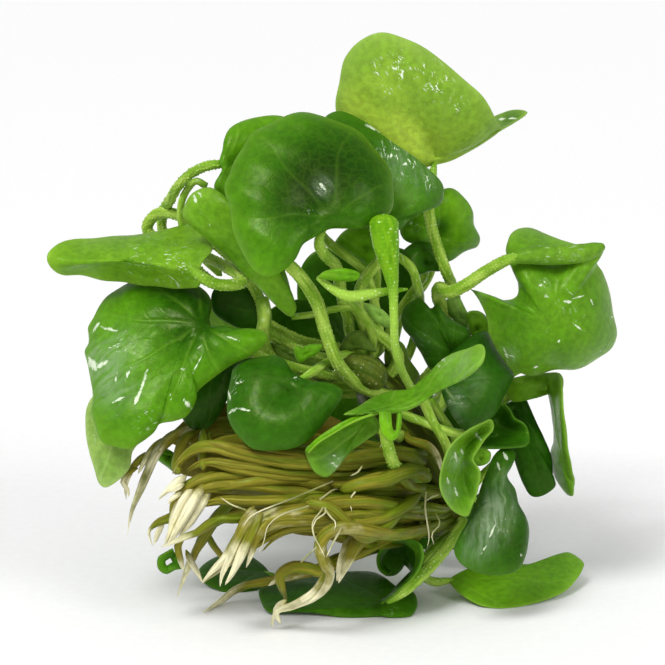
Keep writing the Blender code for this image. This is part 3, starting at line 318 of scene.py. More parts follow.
        origin=(515, 404), tip=(545, 490), tone_and_shade=[(530, 450, 60, 0.7)]),
    "cupped_leaf": dict(shade="dark_green", stalk=(489, 430), near=-4, lean=(0, 0), bow=-4,
        margin=[(482, 424), (490, 412), (501, 404), (509, 410), (514, 418), (524, 424), (528, 433),
        (526, 443, 5), (512, 446, 7), (494, 448, 7), (478, 446, 6), (480, 435, 3)], stem=[(477, 433, -2),
        (462, 434, 2), (440, 429, 5), (424, 422, 5), (412, 418, 2.6)], quilt=0.2, origin=(490, 432),
        tip=(516, 424)),
    "crescent_leaf": dict(shade="fresh_green", stalk=(466, 466), near=18, lean=(0, 0.1), bow=-2.5,
        hub=(460, 457, 17), margin=[(472, 459), (479, 473), (476, 488), (472, 502), (468, 515, 3),
        (458, 512, 5), (448, 500, 7), (442, 486, 8), (442, 470, 8), (448, 452, 7), (458, 439, 5),
        (471, 431, 3), (484, 424, 1), (491, 421), (492, 428), (484, 438), (477, 449)], stem=[(463, 474, 13),
        (457, 480, 5), (452, 483, -3)], quilt=0.15, origin=(474, 462), tip=(450, 500), joint=(463, 474, 13.5),
        tone_and_shade=[(470, 490, 12, -0.4)], sheen=[(456, 462, 10, 0.4), (450, 490, 9, 0.4)],
        painted_glint=[(455, 460, 9, 0.6), (450, 490, 7, 0.4)], gleam=[(475, 432, 481, 441, 1.8),
        (455, 452, 457, 462, 1.6), (461, 448, 463, 454, 1.3), (447, 478, 450, 486, 1.3),
        (455, 488, 458, 498, 1.2)]),
    "grey_gloss_leaf": dict(shade="dark_green", stalk=(503, 462), near=2, lean=(-0.3, -0.3), bow=2,
        hub=(497, 484, 5.5), joint=(499, 472, 4.3), margin=[(508, 448), (515, 453), (513, 463), (508, 475),
        (516, 489), (520, 505), (528, 522), (529, 538), (526, 556), (519, 569), (500, 575), (477, 572),
        (461, 563), (454, 549), (464, 530), (472, 512), (479, 493), (486, 473), (494, 456), (501, 449)],
        stem=[(496, 464, -4), (484, 474, -9), (470, 488, -12)], quilt=0.25, origin=(500, 466), tip=(490, 572),
        tone_and_shade=[(500, 520, 60, -0.5), (520, 545, 18, -0.4), (500, 470, 14, 0.6), (480, 560, 22, 0.3)],
        sheen=[(497, 505, 16, 0.5), (486, 530, 16, 0.5), (475, 552, 12, 0.35), (506, 480, 10, 0.3)],
        painted_glint=[(494, 520, 18, 0.3)], vein=0.5, gleam=[(503, 452, 508, 460, 1.8), (497, 462, 500, 470, 1.2),
        (488, 540, 497, 522, 1), (480, 556, 488, 543, 1), (520, 553, 523, 558, 1)]),
    "right_floor_leaf": dict(rests=True, shade="bright_green", stalk=(456, 580), near=-18.5,
        lean=(-0.1, -1.6), bow=1, hub=(484, 583, -17.5), margin=[(450, 580, 0, 0), (458, 573, 0, 0),
        (475, 565.5, 0, 0), (490, 561, 0, 0), (506, 560, 0, 0), (524, 564, 0, 0), (540, 561, 0, 0),
        (555, 556, 0, 0), (568, 552.5, 0, 0), (583, 562, 0, 0), (582, 569, 0, 0), (576, 579, 0, -0.6),
        (565, 590, 0, -1.6), (550, 597, 0, -2), (535, 602, 0, -2.2), (517, 606, 0, -2.4),
        (500, 607.5, 0, -2.4), (483, 605, 0, -2.2), (468, 598, 0, -1), (456, 589, 0, 0)],
        stem=[(446, 581, -18.5), (436, 582, -17.5), (426, 578, -16.5), (424, 562, -16), (436, 545, -17),
        (454, 532, -17)], bow_up=1.5, quilt=0.08, wave=0.2, curl=0.2, origin=(452, 581), tip=(578, 562),
        tone_and_shade=[(510, 575, 70, 0.45)]),
    "front_floor_leaf": dict(rests=True, shade="dark_green", stalk=(384, 601), near=-5, lean=(0, -0.9),
        bow=0.5, hub=(358, 608, -3.4), margin=[(399, 587, -3.5), (412, 591, -3), (417, 604, -1), (411, 615),
        (397, 620), (384, 617), (350, 618), (318, 613.5), (298, 612.5), (270, 611), (262, 602, -3),
        (260, 588, -5), (275, 578, -7), (310, 575, -9), (345, 571, -10), (372, 571, -9), (384, 577, -6)],
        lobes=[dict(stalk=(390, 594), near=-7, lean=(0, 0), bow=0, hub=(404, 555, -14),
        margin=[(416, 576, 4.1), (422, 565, 6), (423.5, 553, 6), (418, 543, 5), (408, 538, 3),
        (398, 538, 0.5), (388, 543, -3.5), (380, 552, -7), (377.5, 560, -8), (379, 569, -9.5),
        (387, 575.5, -10), (395, 575, -11), (401, 570, -11.5), (404.5, 565, -12), (411, 571.5, -9)]),
        dict(stalk=(390, 594), near=-7, lean=(0, 0), bow=0, hub=(404, 585, -4), margin=[(382, 602.5, 1.8),
        (392, 595.5, 3), (400, 590, 3.5), (408, 583.5, 4), (416, 576, 4.1), (419, 570, 4.2), (411, 571.5, -4),
        (401, 581, -1), (392, 591, 1)])], quilt=0.1, wave=0.3, origin=(388, 604), tip=(262, 592),
        tone_and_shade=[(330, 612, 34, 0.9), (390, 606, 24, 1), (345, 578, 36, -0.3), (380, 557, 14, 0.6)],
        painted_glint=[(393, 611, 5, 0.9), (385, 585, 6, 0.6), (392, 582, 4, 0.6)]),
    "left_floor_leaf": dict(shade="dark_green", stalk=(262, 572), near=-30, lean=(0, -1.6), bow=1, rests=True,
        margin=[(270, 579), (252, 590), (228, 592), (214, 587), (203, 580), (199, 570), (206, 562),
        (220, 555), (240, 551), (258, 560)], stem=[(278, 578, -28), (302, 578, -26), (340, 560, -27),
        (385, 535, -27), (428, 512, -22)], quilt=0.15, origin=(262, 574), tip=(204, 572)),
    "back_high_leaf": dict(shade="middle_green", stalk=(335, 212), near=-26, lean=(0, 0.4), bow=-5,
        margin=[(340, 222), (318, 224), (292, 214), (268, 195), (262, 165), (280, 138), (320, 125),
        (358, 135), (382, 165), (380, 198), (352, 215)], stem=[(322, 222, -12), (321, 234, -1),
        (334, 247, 3.1), (350, 259, 3.8), (364, 271, 1.5), (374, 300, -2), (379, 344, -3)], quilt=0.35,
        upper=False),
    "back_top_leaf": dict(shade="dark_green", stalk=(395, 200), near=-38, lean=(0, 0.5), bow=-5,
        margin=[(398, 210), (378, 208), (358, 192), (348, 165), (355, 140), (375, 128), (402, 140),
        (424, 165), (430, 188), (415, 204)], stem=[(396, 215, -32), (381, 236, -16), (386, 249, -2),
        (410, 266, 1.5), (417, 284, -2), (420, 302, -10), (416, 332, -14), (407, 358, -12)], quilt=0.35,
        upper=False),
    "back_left_leaf": dict(shade="middle_green", stalk=(245, 350), near=-28, lean=(0.3, 0.4), bow=-6,
        margin=[(250, 358), (235, 385), (205, 405), (160, 412), (125, 392), (110, 355), (120, 320),
        (150, 300), (190, 298), (225, 315), (248, 340)], stem=[(268, 356, -29), (305, 367, -28),
        (340, 378, -24), (354, 384, -16)], veins=5, quilt=0.4, upper=False),
    "back_right_leaf": dict(shade="middle_green", stalk=(470, 360), near=-34, lean=(-0.3, 0.3), bow=-5,
        margin=[(462, 350), (475, 335), (505, 318), (545, 312), (580, 325), (592, 350), (575, 362),
        (540, 368), (515, 378), (498, 395), (475, 388), (464, 370)], stem=[(458, 372, -35), (440, 395, -29),
        (422, 415, -17)], veins=5, quilt=0.4, upper=False),
    "back_centre_leaf": dict(shade="dark_green", stalk=(335, 345), near=-18, lean=(0, 0.3), bow=-4,
        margin=[(340, 355), (325, 378), (295, 396), (262, 385), (250, 350), (262, 318), (292, 302),
        (322, 304), (343, 322), (345, 338)], stem=[(343, 356, -17), (355, 366, -11.5)], quilt=0.35),
    "back_root_leaf": dict(shade="middle_green", stalk=(392, 474), near=-28, lean=(0.3, -0.3), bow=-3,
        hub=(370, 478, -30), joint=(386, 474.5, -29), margin=[(396, 464), (385, 438), (372, 410), (352, 387),
        (326, 384), (300, 400), (282, 432), (276, 465), (280, 492), (296, 513), (330, 522), (370, 514),
        (394, 494)], stem=[(404, 470, -27), (418, 464, -18)], quilt=0.35, tone_and_shade=[(340, 440, 80, -0.8)]),
    "back_low_leaf": dict(rests=True, shade="dark_green", stalk=(478, 502), near=-30, lean=(-0.2, 0.62),
        bow=2, margin=[(482, 492), (505, 492), (522, 515), (526, 540), (518, 560), (500, 573), (480, 568),
        (462, 552), (458, 525), (468, 505)], stem=[(469, 496, -26), (459, 493, -20)]),
    # dark_middle_leaf and dark_low_leaf lie deep inside the plant and fill its shaded middle; their darker
    # spots are painted shade.
    "dark_middle_leaf": dict(shade="dark_green", stalk=(364, 346), near=-29, lean=(0, 0.1), bow=0,
        hub=(359, 338, -28.8), margin=[(352, 351), (325, 345), (305, 328), (298, 300), (300, 272), (312, 254),
        (330, 248), (354, 246), (380, 246), (404, 250), (424, 262), (431, 278), (424, 292), (408, 304),
        (400, 320), (397, 340), (376, 352)], stem=[(366, 356, -23), (370, 366, -14)],
        tone_and_shade=[(364, 300, 70, -0.25)]),
    "dark_low_leaf": dict(shade="dark_green", stalk=(440, 545), near=-41, lean=(0, 0), bow=0,
        hub=(440, 530, -41), margin=[(434, 552), (420, 546), (408, 530), (400, 508), (397, 480), (396, 450),
        (400, 425), (410, 405), (424, 396), (440, 398), (455, 410), (466, 430), (474, 455), (477, 480),
        (475, 505), (468, 528), (458, 545), (446, 552)], stem=[(443, 532, -39), (449, 512, -30)],
        tone_and_shade=[(437, 470, 90, -0.6)]),
}

# Young leaves still rolled up, in a round head. from_crown: the path starts in the crown.
ROLLED_LEAVES = {
    "rolled_leaf": dict(shade="bright_green", path=[(408, 400, 1), (411, 390, 10), (401, 368, 20),
        (395, 345, 25), (394, 320, 28), (393, 290, 29), (390, 268, 30), (386, 245, 31), (384, 228, 31),
        (384, 214, 31)], from_crown=True, radius=[1.3, 1.2, 1.1, 1.05, 1, 1, 1, 1, 1, 1, 1, 1, 1, 1, 1.05,
        1.3, 1.9, 2.6, 3.2, 3.5, 3.5]),
    "bright_bud": dict(shade="bright_green", path=[(318, 277, 27), (330, 287, 27), (348, 296, 27),
        (370, 294, 26), (390, 291, 25), (408, 289, 24)], radius=[0.7, 1, 1.35, 1.4, 1.1, 0.8, 0.3],
        stem=[(352, 302, 22), (362, 314, 15), (370, 328, 10), (373, 340, 6)]),
}

# Stalks, from the leaf to the crown. papilla: how high the papillae are, in millimetres.
STALKS = {
    "left_inner_stalk": dict(path=[(272, 254, 23.3), (290, 266, 24.2), (303, 280, 23), (317, 303, 21),
        (325, 330, 18), (337, 362, 14), (352, 380, 9), (362, 387, 6), (380, 394, 3), (394, 398, 0)],
        radius=[1.6, 1.8, 1.7, 1.7, 1.8], papilla=0.26),
    "front_stalk": dict(path=[(323, 231, 28.7), (319, 242, 28), (324, 254, 25), (336, 266, 19),
        (340, 285, 12), (343, 302, 7), (348, 318, 3), (351, 336, -0.5)], radius=[1.4, 1.5, 1.5, 1.5],
        papilla=0.28),
    "behind_front_stalk": dict(path=[(377, 228, 13.4), (384, 241, 11.4), (378, 261, 8), (366, 277, 6),
        (359, 292, 4), (359, 308, 2), (366, 322, 1.5), (376, 333, 1.5), (390, 344, 1), (398, 360, -1)],
        radius=[1.3, 1.5, 1.5, 1.7, 1.7], papilla=0.24),
    "top_stalk": dict(path=[(434, 167, 0), (431, 185, 1), (429, 212, 1), (437, 245, 0.8), (445, 268, -0.5),
        (452, 286, -6), (455, 300, -11), (459, 322, -16), (452, 352, -19), (432, 385, -18),
        (416, 402, -14.5)], radius=[1.4, 1.5, 1.6, 1.6], papilla=0.26),
    "right_stalk": dict(path=[(520, 256, 11.2), (507, 260, 10.2), (485, 272, 7), (464, 286, 4), (449, 292, 2),
        (440, 288, -1), (438, 296, -6), (446, 322, -11), (446, 350, -14), (430, 374, -13), (413, 390, -10)],
        radius=[1.5, 1.7, 1.8, 1.8, 1.6], papilla=0.22),
    "young_stalk": dict(path=[(388, 416, 28.6), (385, 430, 26.5), (389, 450, 23), (394, 464, 18),
        (403, 473, 12), (414, 477, 5), (420, 477, 0)], radius=[1.5, 1.6, 1.6, 1.5], papilla=0.28),
    "front_floor_stalk": dict(path=[(391, 600, 1.9), (405, 590, 1.9), (425, 572, 0.7), (444, 550, -4),
        (457, 533, -8), (463, 524, -10)], radius=[1.5, 1.7, 1.7], papilla=0.12),
    "left_glossy_stalk": dict(path=[(208, 334, 10.8), (226, 342, 12.2), (245, 350, 12.2), (262, 357, 10),
        (300, 369, 6), (335, 376, 4), (344, 377, 3)], radius=[1.3, 1.4, 1.4], papilla=0.16),
    "left_rolled_stalk": dict(path=[(191, 268, 22.4), (200, 276, 22.6), (216, 284, 21.5), (238, 284, 19),
        (243, 279, 16), (228, 268, 10), (205, 257, 2), (180, 247, -5), (157, 240, -8), (147, 228, -8),
        (157, 214, -6), (178, 215, -3), (200, 232, 0), (235, 262, 2), (260, 300, 4), (266, 330, 2),
        (300, 350, 0), (346, 364, -1.5)], radius=[1.5, 1.5, 1.5, 1.4, 1.5], papilla=0.34),
    "upper_left_stalk": dict(path=[(228.5, 165, 15.9), (212, 165, 15.5), (195, 171, 13), (180, 184, 8),
        (170, 200, 0), (163, 214, -12), (163, 232, -15.5), (185, 258, -14), (235, 300, -11), (295, 338, -9),
        (352, 352, -7)], radius=[1.2, 1.3, 1.3, 1.4], papilla=0.42),
}

# Root bundles, from the crown to the tips. fork: the bundle leaves another root, not the crown.
ROOTS = {
    "root_1": dict(path=[(388, 448, -4), (350, 442, -3), (300, 437, -2), (250, 436, -2), (212, 434, -1),
        (192, 431, 1), (172, 436, 4), (157, 450, 5.5), (148, 468, 5), (139, 492, 4), (131, 515, 3),
        (128, 536, 2)], radius=[1.6, 1.8, 2, 2.2, 2.3, 1.9, 1.4, 0.4]),
    "root_2": dict(path=[(419, 458, 1), (395, 455, 9), (350, 462, 15), (300, 461, 19), (245, 453, 19),
        (205, 447, 18), (184, 458, 16), (174, 475, 15)], radius=[1.8, 2.4, 2.7, 2.6, 2.2, 1.2]),
    "root_3": dict(path=[(433, 493, -3), (416, 491, 1), (398, 488.5, 5), (372, 487, 9), (350, 487, 11.5),
        (300, 485, 14), (240, 481, 15.5), (200, 485, 16), (180, 500, 15), (173, 525, 14), (166, 545, 13)],
        radius=[1.8, 2, 2.9, 4.1, 4.4, 4.2, 3.4, 2.6, 1.8, 0.5]),
    "root_4": dict(path=[(440, 512, -6), (420, 511, 1.5), (398, 510, 8.6), (360, 508, 19), (320, 512, 22),
        (265, 522, 23), (243, 544, 22), (225, 565, 20), (202, 583, 19)],
        radius=[1.8, 2.3, 3, 3.3, 3.2, 2.8, 2.2, 0.5]),
    "root_5": dict(path=[(445, 523, -8.5), (415, 531, 5), (389, 532, 15.5), (363, 528, 24), (340, 527, 27.5),
        (326, 533, 28), (319, 550, 27), (328, 572, 24), (318, 592, 20), (295, 606, 15), (276, 613, 12),
        (272, 628, 7.8)], radius=[1.6, 1.8, 2, 2.3, 2.5, 2.3, 1.8, 1.3, 0.5]),
    "root_6": dict(path=[(444, 532, -15), (430, 531, -8), (408, 530, -0.8), (385, 537, 2), (362, 550, 5.5),
        (340, 561, 9.5), (318, 572, 12), (304, 568, 13.5), (288, 569, 14.5), (279, 579, 14.5),
        (284, 591, 12.5), (286, 604, 8)], radius=[1.5, 1.7, 1.9, 2, 1.8, 1.4, 0.8]),
    "root_7": dict(path=[(441, 521, -19), (415, 530, -20), (390, 544, -19), (362, 554, -13), (332, 562, -5),
        (314, 573, -6.5), (290, 578, -8), (262, 584, -9), (240, 589, -11), (222, 601, -11.2),
        (203, 613, -2.8)], radius=[1.4, 1.6, 1.6, 1.6, 1.5, 1.2, 0.6]),
    "root_8": dict(fork=True, path=[(235, 497, 13.5), (214, 522, 10), (199, 545, 7), (188, 568, 4),
        (177, 597, 1)], radius=[1.6, 1.6, 1.5, 1.2, 0.5]),
    "root_9": dict(fork=True, path=[(191, 507, 12.3), (174, 517, 9), (157, 524, 7), (150, 530, 6),
        (153, 546, 6)], radius=[1.4, 1.4, 1.4, 1, 0.4]),
    "root_10": dict(fork=True, path=[(250, 518, 20.3), (222, 519, 20), (196, 531, 19), (172, 542, 19),
        (160, 547, 18)], radius=[1.5, 1.7, 1.6, 1.2, 0.4]),
    "root_11": dict(fork=True, path=[(400, 528, 3.2), (386, 529, 7.5), (372, 533, 11), (356, 545, 14),
        (347, 562, 14.5), (339, 582, 12)], radius=[1.4, 2, 3, 3.2, 2.8, 1.6]),
    "root_12": dict(path=[(412, 441, 4.5), (421, 442, 6), (436, 455, 4), (443, 474, 0)],
        radius=[1, 1.3, 1.3, 1]),
}

# The short thick stem in the middle.
CROWN = dict(path=[(367, 362, -3), (374, 380, -4), (394, 412, -7), (424, 455, -10), (446, 494, -12),
    (456, 520, -14)], radius=[3.2, 6.2, 7, 6.8, 6.4, 5.6, 3])

# Each shade of leaf: its upper side, its underside, its veins, how strong the net of small veins is and how
# grainy the skin.
SHADES = {
    "yellow_green": ((80, 132, 22), (120, 160, 44), (156, 190, 92), 0.2, 0.4),
    "bright_green": ((84, 142, 12), (108, 157, 28), (140, 184, 60), 0.2, 0.35),
    "fresh_green": ((94, 146, 22), (106, 152, 36), (134, 174, 66), 0.2, 0.25),
    "middle_green": ((76, 132, 12), (98, 146, 38), (110, 156, 40), 0.2, 0.2),
    "dark_green": ((42, 92, 8), (76, 118, 30), (74, 122, 26), 0.25, 0.2),
    "deep_green": ((26, 72, 6), (60, 98, 26), (56, 100, 20), 0.25, 0.2),
    "pale_green": ((108, 150, 56), (140, 174, 76), (182, 206, 128), 0.3, 0.3),
    "old": ((74, 104, 30), (84, 112, 38), (112, 132, 60), 0.4, 0.5),
    "web": ((104, 94, 28), (110, 102, 36), (128, 122, 52), 0.2, 0.5),
}

# Small young leaves between the stalks, and the look that they share with the old scales.
SCRAP_LOOK = dict(quilt=0.03, wave=0.5, curl=0.1, rise=1, veins=2, step=0.0004)
SCRAPS = {
    "bud_scale": dict(shade="bright_green", stalk=(356, 275), near=29.5, lean=(0, 0.3), bow=1,
        margin=[(358, 278), (345, 281), (328, 281), (318, 278), (324, 271), (338, 268), (350, 270),
        (359, 274)]),
    "folded_slip": dict(shade="pale_green", stalk=(380, 315), near=12, lean=(0, 0.2), bow=1,
        margin=[(364, 303), (373, 305), (385, 313), (394, 326), (385, 326), (374, 319), (366, 310)]),
    "pale_fold_high": dict(shade="pale_green", stalk=(461, 318), near=-9, lean=(0, 0.2), bow=1,
        margin=[(446, 300), (459, 297), (464, 306), (471, 328), (462, 326), (453, 318), (447, 311)]),
    "pale_fold_low": dict(shade="fresh_green", stalk=(478, 330), near=-7, lean=(0, 0.2), bow=2,
        margin=[(468, 313), (480, 312), (490, 322), (493, 336), (484, 350), (474, 338), (468, 326)]),
    "pale_blade_right": dict(shade="fresh_green", stalk=(552, 392), near=-13, lean=(0, 0.2), bow=2,
        margin=[(560, 374), (563, 385), (556, 400), (550, 395), (540, 388), (525, 400), (512, 402),
        (505, 390), (506, 382), (520, 376), (540, 373)]),
    "blade_behind_roots": dict(shade="middle_green", stalk=(170, 456), near=-10, lean=(0, 0.2), bow=2,
        margin=[(152, 446), (166, 449), (177, 458), (177, 472), (167, 466), (156, 458)]),
    "dark_inner_left": dict(shade="deep_green", stalk=(212, 300), near=3, lean=(0, 0.05), bow=0.4,
        hub=(240, 306, 3), margin=[(214, 291), (232, 284), (252, 290), (264, 304), (268, 324), (250, 330),
        (230, 324), (214, 312)]),
    "bright_leaflet": dict(shade="bright_green", stalk=(305, 354), near=17, lean=(0, 0.3), bow=1,
        margin=[(296, 347), (303, 349), (309, 345), (322, 345), (318, 353), (308, 357), (300, 362),
        (296, 356)]),
    "leaflet_by_crescent": dict(shade="fresh_green", stalk=(480, 458), near=13, lean=(0, 0.3), bow=1,
        margin=[(470, 452), (480, 449), (490, 452), (489, 461), (480, 465), (471, 461)]),
}

# Old scales round the crown.
OLD_SCRAPS = {
    "old_scale_left": dict(stalk=(284, 352), near=4, lean=(0.2, 0.3), bow=1, margin=[(272, 344), (290, 350),
        (312, 358), (328, 368), (336, 380), (322, 382), (300, 372), (284, 362)]),
    "old_scale_top": dict(stalk=(352, 344), near=6, lean=(0.2, 0.3), bow=1, margin=[(340, 350), (346, 338),
        (356, 331), (366, 332), (372, 342), (376, 352), (362, 349), (350, 350)]),
    "old_scale_right": dict(stalk=(398, 350), near=-3, lean=(-0.4, 0.3), bow=1, margin=[(388, 372),
        (385, 352), (392, 340), (401, 343), (410, 360), (420, 376), (412, 386)]),
}

# Old swollen stumps on the crown: the path and its radii.
BULBS = {
    "old_stump": ([(342, 366, 4), (354, 366, 6), (368, 372, 6), (382, 384, 3)], [1.4, 3.2, 3.9, 3.6, 2]),
}

# Stalks too thin or too hidden for a solid of their own: the path and its radii.
THIN_STALKS = {
    "inner_stalk_one": ([(420, 393, 7), (432, 420, 6), (447, 447, 4), (453, 478, 0)], [1.3, 1.2, 1.2]),
    "inner_stalk_two": ([(430, 400, 2), (442, 418, 1), (455, 440, -2), (458, 470, -6)], [1.1, 1.1, 1]),
    "thin_loop_left": ([(206, 186, 5), (196, 181, 6), (187, 190, 6), (181, 205, 5), (182, 225, 3),
        (195, 250, 0), (222, 276, 0)], [0.9, 0.9, 0.9, 0.9]),
    "thin_bridge": ([(292, 317, 6), (315, 314, 7), (335, 309, 8), (352, 308, 7), (359, 318, 4),
        (364, 334, 0)], [0.8, 0.9, 0.9]),
    "young_low_stalk": ([(262, 300, 8), (265, 315, 10), (263, 332, 8), (266, 350, 4), (290, 372, 0),
        (340, 380, -2)], [1.7, 1.7, 1.5, 1.3]),
    "back_low_stalk": ([(452, 534, -10), (436, 546, -9), (424, 560, -9), (420, 572, -10)], [1.1, 1.2, 1.1]),
}

# How many strands a root is, the share of its radius that each has, and how far its colours run to the pale.
STRANDS = {"root_1": (4, 0.58, 0.95), "root_2": (6, 0.52, 0.66), "root_3": (11, 0.43, 0.78),
    "root_4": (9, 0.46, 0.82), "root_5": (4, 0.62, 0.98), "root_6": (3, 0.66, 0.78), "root_7": (2, 0.75, 0.9),
    "root_8": (2, 0.7, 1), "root_9": (2, 0.7, 1), "root_10": (3, 0.6, 1), "root_11": (4, 0.62, 1),
    "root_12": (2, 0.75, 1)}

# Bundles between the main roots that fill the mat: the path, the radii, how many strands and their share.
MAT = [
    ([(410, 470, 4), (380, 474, 9), (340, 474, 15), (290, 472, 18), (240, 466, 18), (205, 462, 17),
        (186, 472, 15)], [1.6, 2.2, 2.4, 2.4, 2.2, 1.6, 0.6], 5, 0.5),
    ([(412, 500, 2), (380, 499, 10), (340, 498, 17), (295, 499, 19), (250, 500, 19), (215, 500, 17),
        (192, 512, 14)], [1.8, 2.2, 2.5, 2.5, 2.2, 1.6, 0.6], 5, 0.48),
    ([(415, 520, -2), (385, 521, 8), (350, 519, 17), (310, 522, 20), (275, 532, 20), (252, 548, 18),
        (240, 560, 15)], [1.8, 2.2, 2.4, 2.2, 1.8, 1.2, 0.4], 5, 0.5),
    ([(400, 541, -6), (375, 540, 4), (350, 534, 12), (322, 528, 16), (296, 530, 17), (274, 540, 17),
        (262, 552, 16)], [1.6, 2, 2.2, 2, 1.6, 1, 0.4], 4, 0.55),
    ([(392, 455, 2), (350, 449, 4), (300, 447, 6), (250, 443, 7), (215, 441, 8), (196, 448, 9)],
        [1.6, 2, 2.2, 2.2, 1.8, 0.8], 4, 0.55),
    ([(405, 486, -6), (360, 480, -6), (310, 478, -4), (262, 474, -2), (225, 473, 2), (200, 476, 8)],
        [2, 2.6, 3, 2.8, 2.2, 1.2], 5, 0.5),
    ([(395, 512, -10), (350, 508, -8), (310, 505, -4), (270, 505, 0), (236, 511, 6), (212, 520, 8)],
        [2, 2.6, 2.8, 2.4, 1.8, 0.8], 5, 0.5),
]

# Old brown webs between the roots.
WEB_LOOK = dict(quilt=0, wave=1.3, curl=0.1, rise=1, veins=3, step=0.0007)
WEBS = {
    "web_high": dict(stalk=(270, 445), near=-5, lean=(0.02, 0.1), bow=1, margin=[(182, 474), (176, 462),
        (178, 448), (168, 440), (180, 425), (196, 412), (225, 404), (270, 404), (320, 412), (350, 430),
        (352, 470), (300, 478), (240, 476)]),
    "web_low": dict(stalk=(300, 500), near=2, lean=(0.02, 0.1), bow=1, margin=[(192, 494), (205, 484),
        (250, 478), (310, 474), (360, 476), (380, 505), (372, 540), (350, 545), (320, 536), (290, 532),
        (268, 522), (246, 506), (234, 512), (218, 502), (204, 506)]),
}

# Single roots that leave the bundles: the path, the radii and where its colours start and end, from crown end
# to tip.
TIPS = [
    ([(196, 488, 15), (186, 497, 17.5), (176, 515, 17.5), (170, 532, 16), (164, 545, 14)],
        [1.4, 1.2, 0.9, 0.2], 0.8, 1.1),
    ([(204, 484, 17), (191, 505, 19), (181, 523, 18), (172, 538, 16), (166, 546, 13)], [1.4, 1.3, 1, 0.2],
        0.78, 1.1),
    ([(190, 482, 15), (180, 500, 15.5), (173, 518, 14.5), (168, 537, 13)], [1.3, 1.2, 0.9, 0.2], 0.8, 1.1),
    ([(210, 488, 16), (199, 508, 17), (189, 524, 17), (179, 537, 15)], [1.3, 1.2, 0.9, 0.2], 0.72, 1.1),
    ([(186, 476, 16), (174, 485, 18), (165, 493, 17), (158, 500, 15)], [1.5, 1.1, 0.6, 0.12], 0.75, 1.15),
    ([(184, 484, 18), (175, 489, 19), (166, 492, 18.5)], [1.1, 0.8, 0.15], 0.8, 1.15),
    ([(182, 492, 17), (173, 498, 18), (168, 504, 17)], [1, 0.7, 0.15], 0.8, 1.15),
    ([(164, 523, 8), (159, 531, 7), (156, 539, 6), (153.5, 545, 6)], [0.9, 0.9, 0.6, 0.15], 0.8, 1.15),
    ([(184, 538, 14), (178, 546, 12), (180, 557, 11), (183, 570, 9)], [0.9, 1, 0.9, 0.3], 0.5, 1),
    ([(186, 550, 8), (190, 560, 7), (196, 570, 6), (203, 583, 5)], [0.9, 0.9, 0.7, 0.15], 0.6, 1.1),
    ([(254, 506, 22), (244, 524, 24), (236, 541, 24), (225, 558, 23), (212, 571, 21), (201, 584, 19)],
        [1.2, 1.3, 1.2, 0.8, 0.15], 0.5, 1.1),
    ([(256, 510, 24), (240, 534, 25.5), (230, 556, 24), (222, 575, 22), (220, 587, 20)],
        [1.2, 1.3, 1.1, 0.7, 0.15], 0.55, 1.1),
    ([(262, 512, 25), (246, 544, 25.5), (234, 570, 23), (225, 585, 21)], [1.3, 1.4, 1.1, 0.2], 0.5, 1.1),
    ([(270, 518, 25), (257, 538, 25), (251, 554, 24), (246, 568, 22)], [1.2, 1.2, 0.8, 0.15], 0.45, 1.1),
    ([(207, 530, 8), (212, 543, 7), (220, 554, 5), (228, 563, 3)], [0.8, 0.8, 0.8, 0.5], 0.15, 0.7),
    ([(166, 438, 3), (151, 452, 4.5), (142, 466, 5), (138, 474, 5)], [1.3, 1.1, 0.8, 0.3], 0.4, 1),
    ([(150, 452, 4), (134, 466, 3), (127, 480, 3), (125.5, 492, 3), (126.5, 500, 3)],
        [1.1, 1, 0.8, 0.5, 0.12], 0.5, 1.1),
    ([(138, 468, 4), (127, 474, 4), (122.5, 482, 4), (128, 490, 4), (129, 497, 3)],
        [0.7, 0.7, 0.6, 0.5, 0.15], 0.6, 1.1),
    ([(203, 428, 11), (203.5, 440, 13), (203.5, 455, 15), (203, 470, 17)], [1.1, 1.2, 1.2, 1], 0.02, 0.5),
    ([(210, 430, 10), (209, 442, 12), (211, 452, 14)], [0.8, 0.9, 0.8], 0.2, 0.5),
    ([(196, 432, 5), (184, 440, 8), (179, 453, 11), (176, 466, 14), (180, 474, 16)], [1.3, 1.4, 1.3, 1.1],
        0.2, 0.6),
    ([(310, 440, -1), (262, 431, 0), (232, 425, 0), (206, 430, 2), (190, 444, 6)], [2.2, 2.6, 2.4, 1.5], 0.05,
        0.5),
    ([(330, 450, 5), (280, 446, 8), (240, 440, 9), (214, 444, 12), (196, 456, 14)], [2, 2.2, 2, 1.4, 0.8],
        0.08, 0.5),
    ([(286, 600, 14), (279, 606, 12), (276, 612, 11.5), (281, 624, 10)], [1, 1, 0.8, 0.15], 0.8, 1.1),
    ([(281, 576, 14), (275, 581, 14), (268, 586, 13)], [0.9, 0.6, 0.12], 0.75, 1.1),
    ([(420, 494, 8), (396, 512, 14), (372, 522, 19), (350, 524, 23)], [1.4, 1.6, 1.6, 1.4], 0, 0.6),
    ([(426, 488, 6), (412, 487, 10), (396, 476, 16), (372, 478, 18), (350, 485, 18), (330, 484, 18)],
        [1.2, 1.3, 1.3, 1.3, 1], 0, 0.6),
    ([(409, 500, 8), (396, 516, 13), (380, 531, 18), (366, 537, 21), (352, 528, 24), (330, 508, 26),
        (306, 502, 25)], [1.3, 1.5, 1.6, 1.6, 1.3], 0, 0.6),
    ([(430, 480, 7), (416, 471, 14), (402, 473, 18), (386, 480, 19), (362, 484, 20), (340, 490, 19)],
        [1.4, 1.8, 1.9, 1.8, 1.4], 0, 0.5),
    ([(430, 520, 0), (420, 536, 0), (400, 540, -2), (385, 535, -2)], [0.7, 0.7, 0.5], 0.3, 0.6),
]

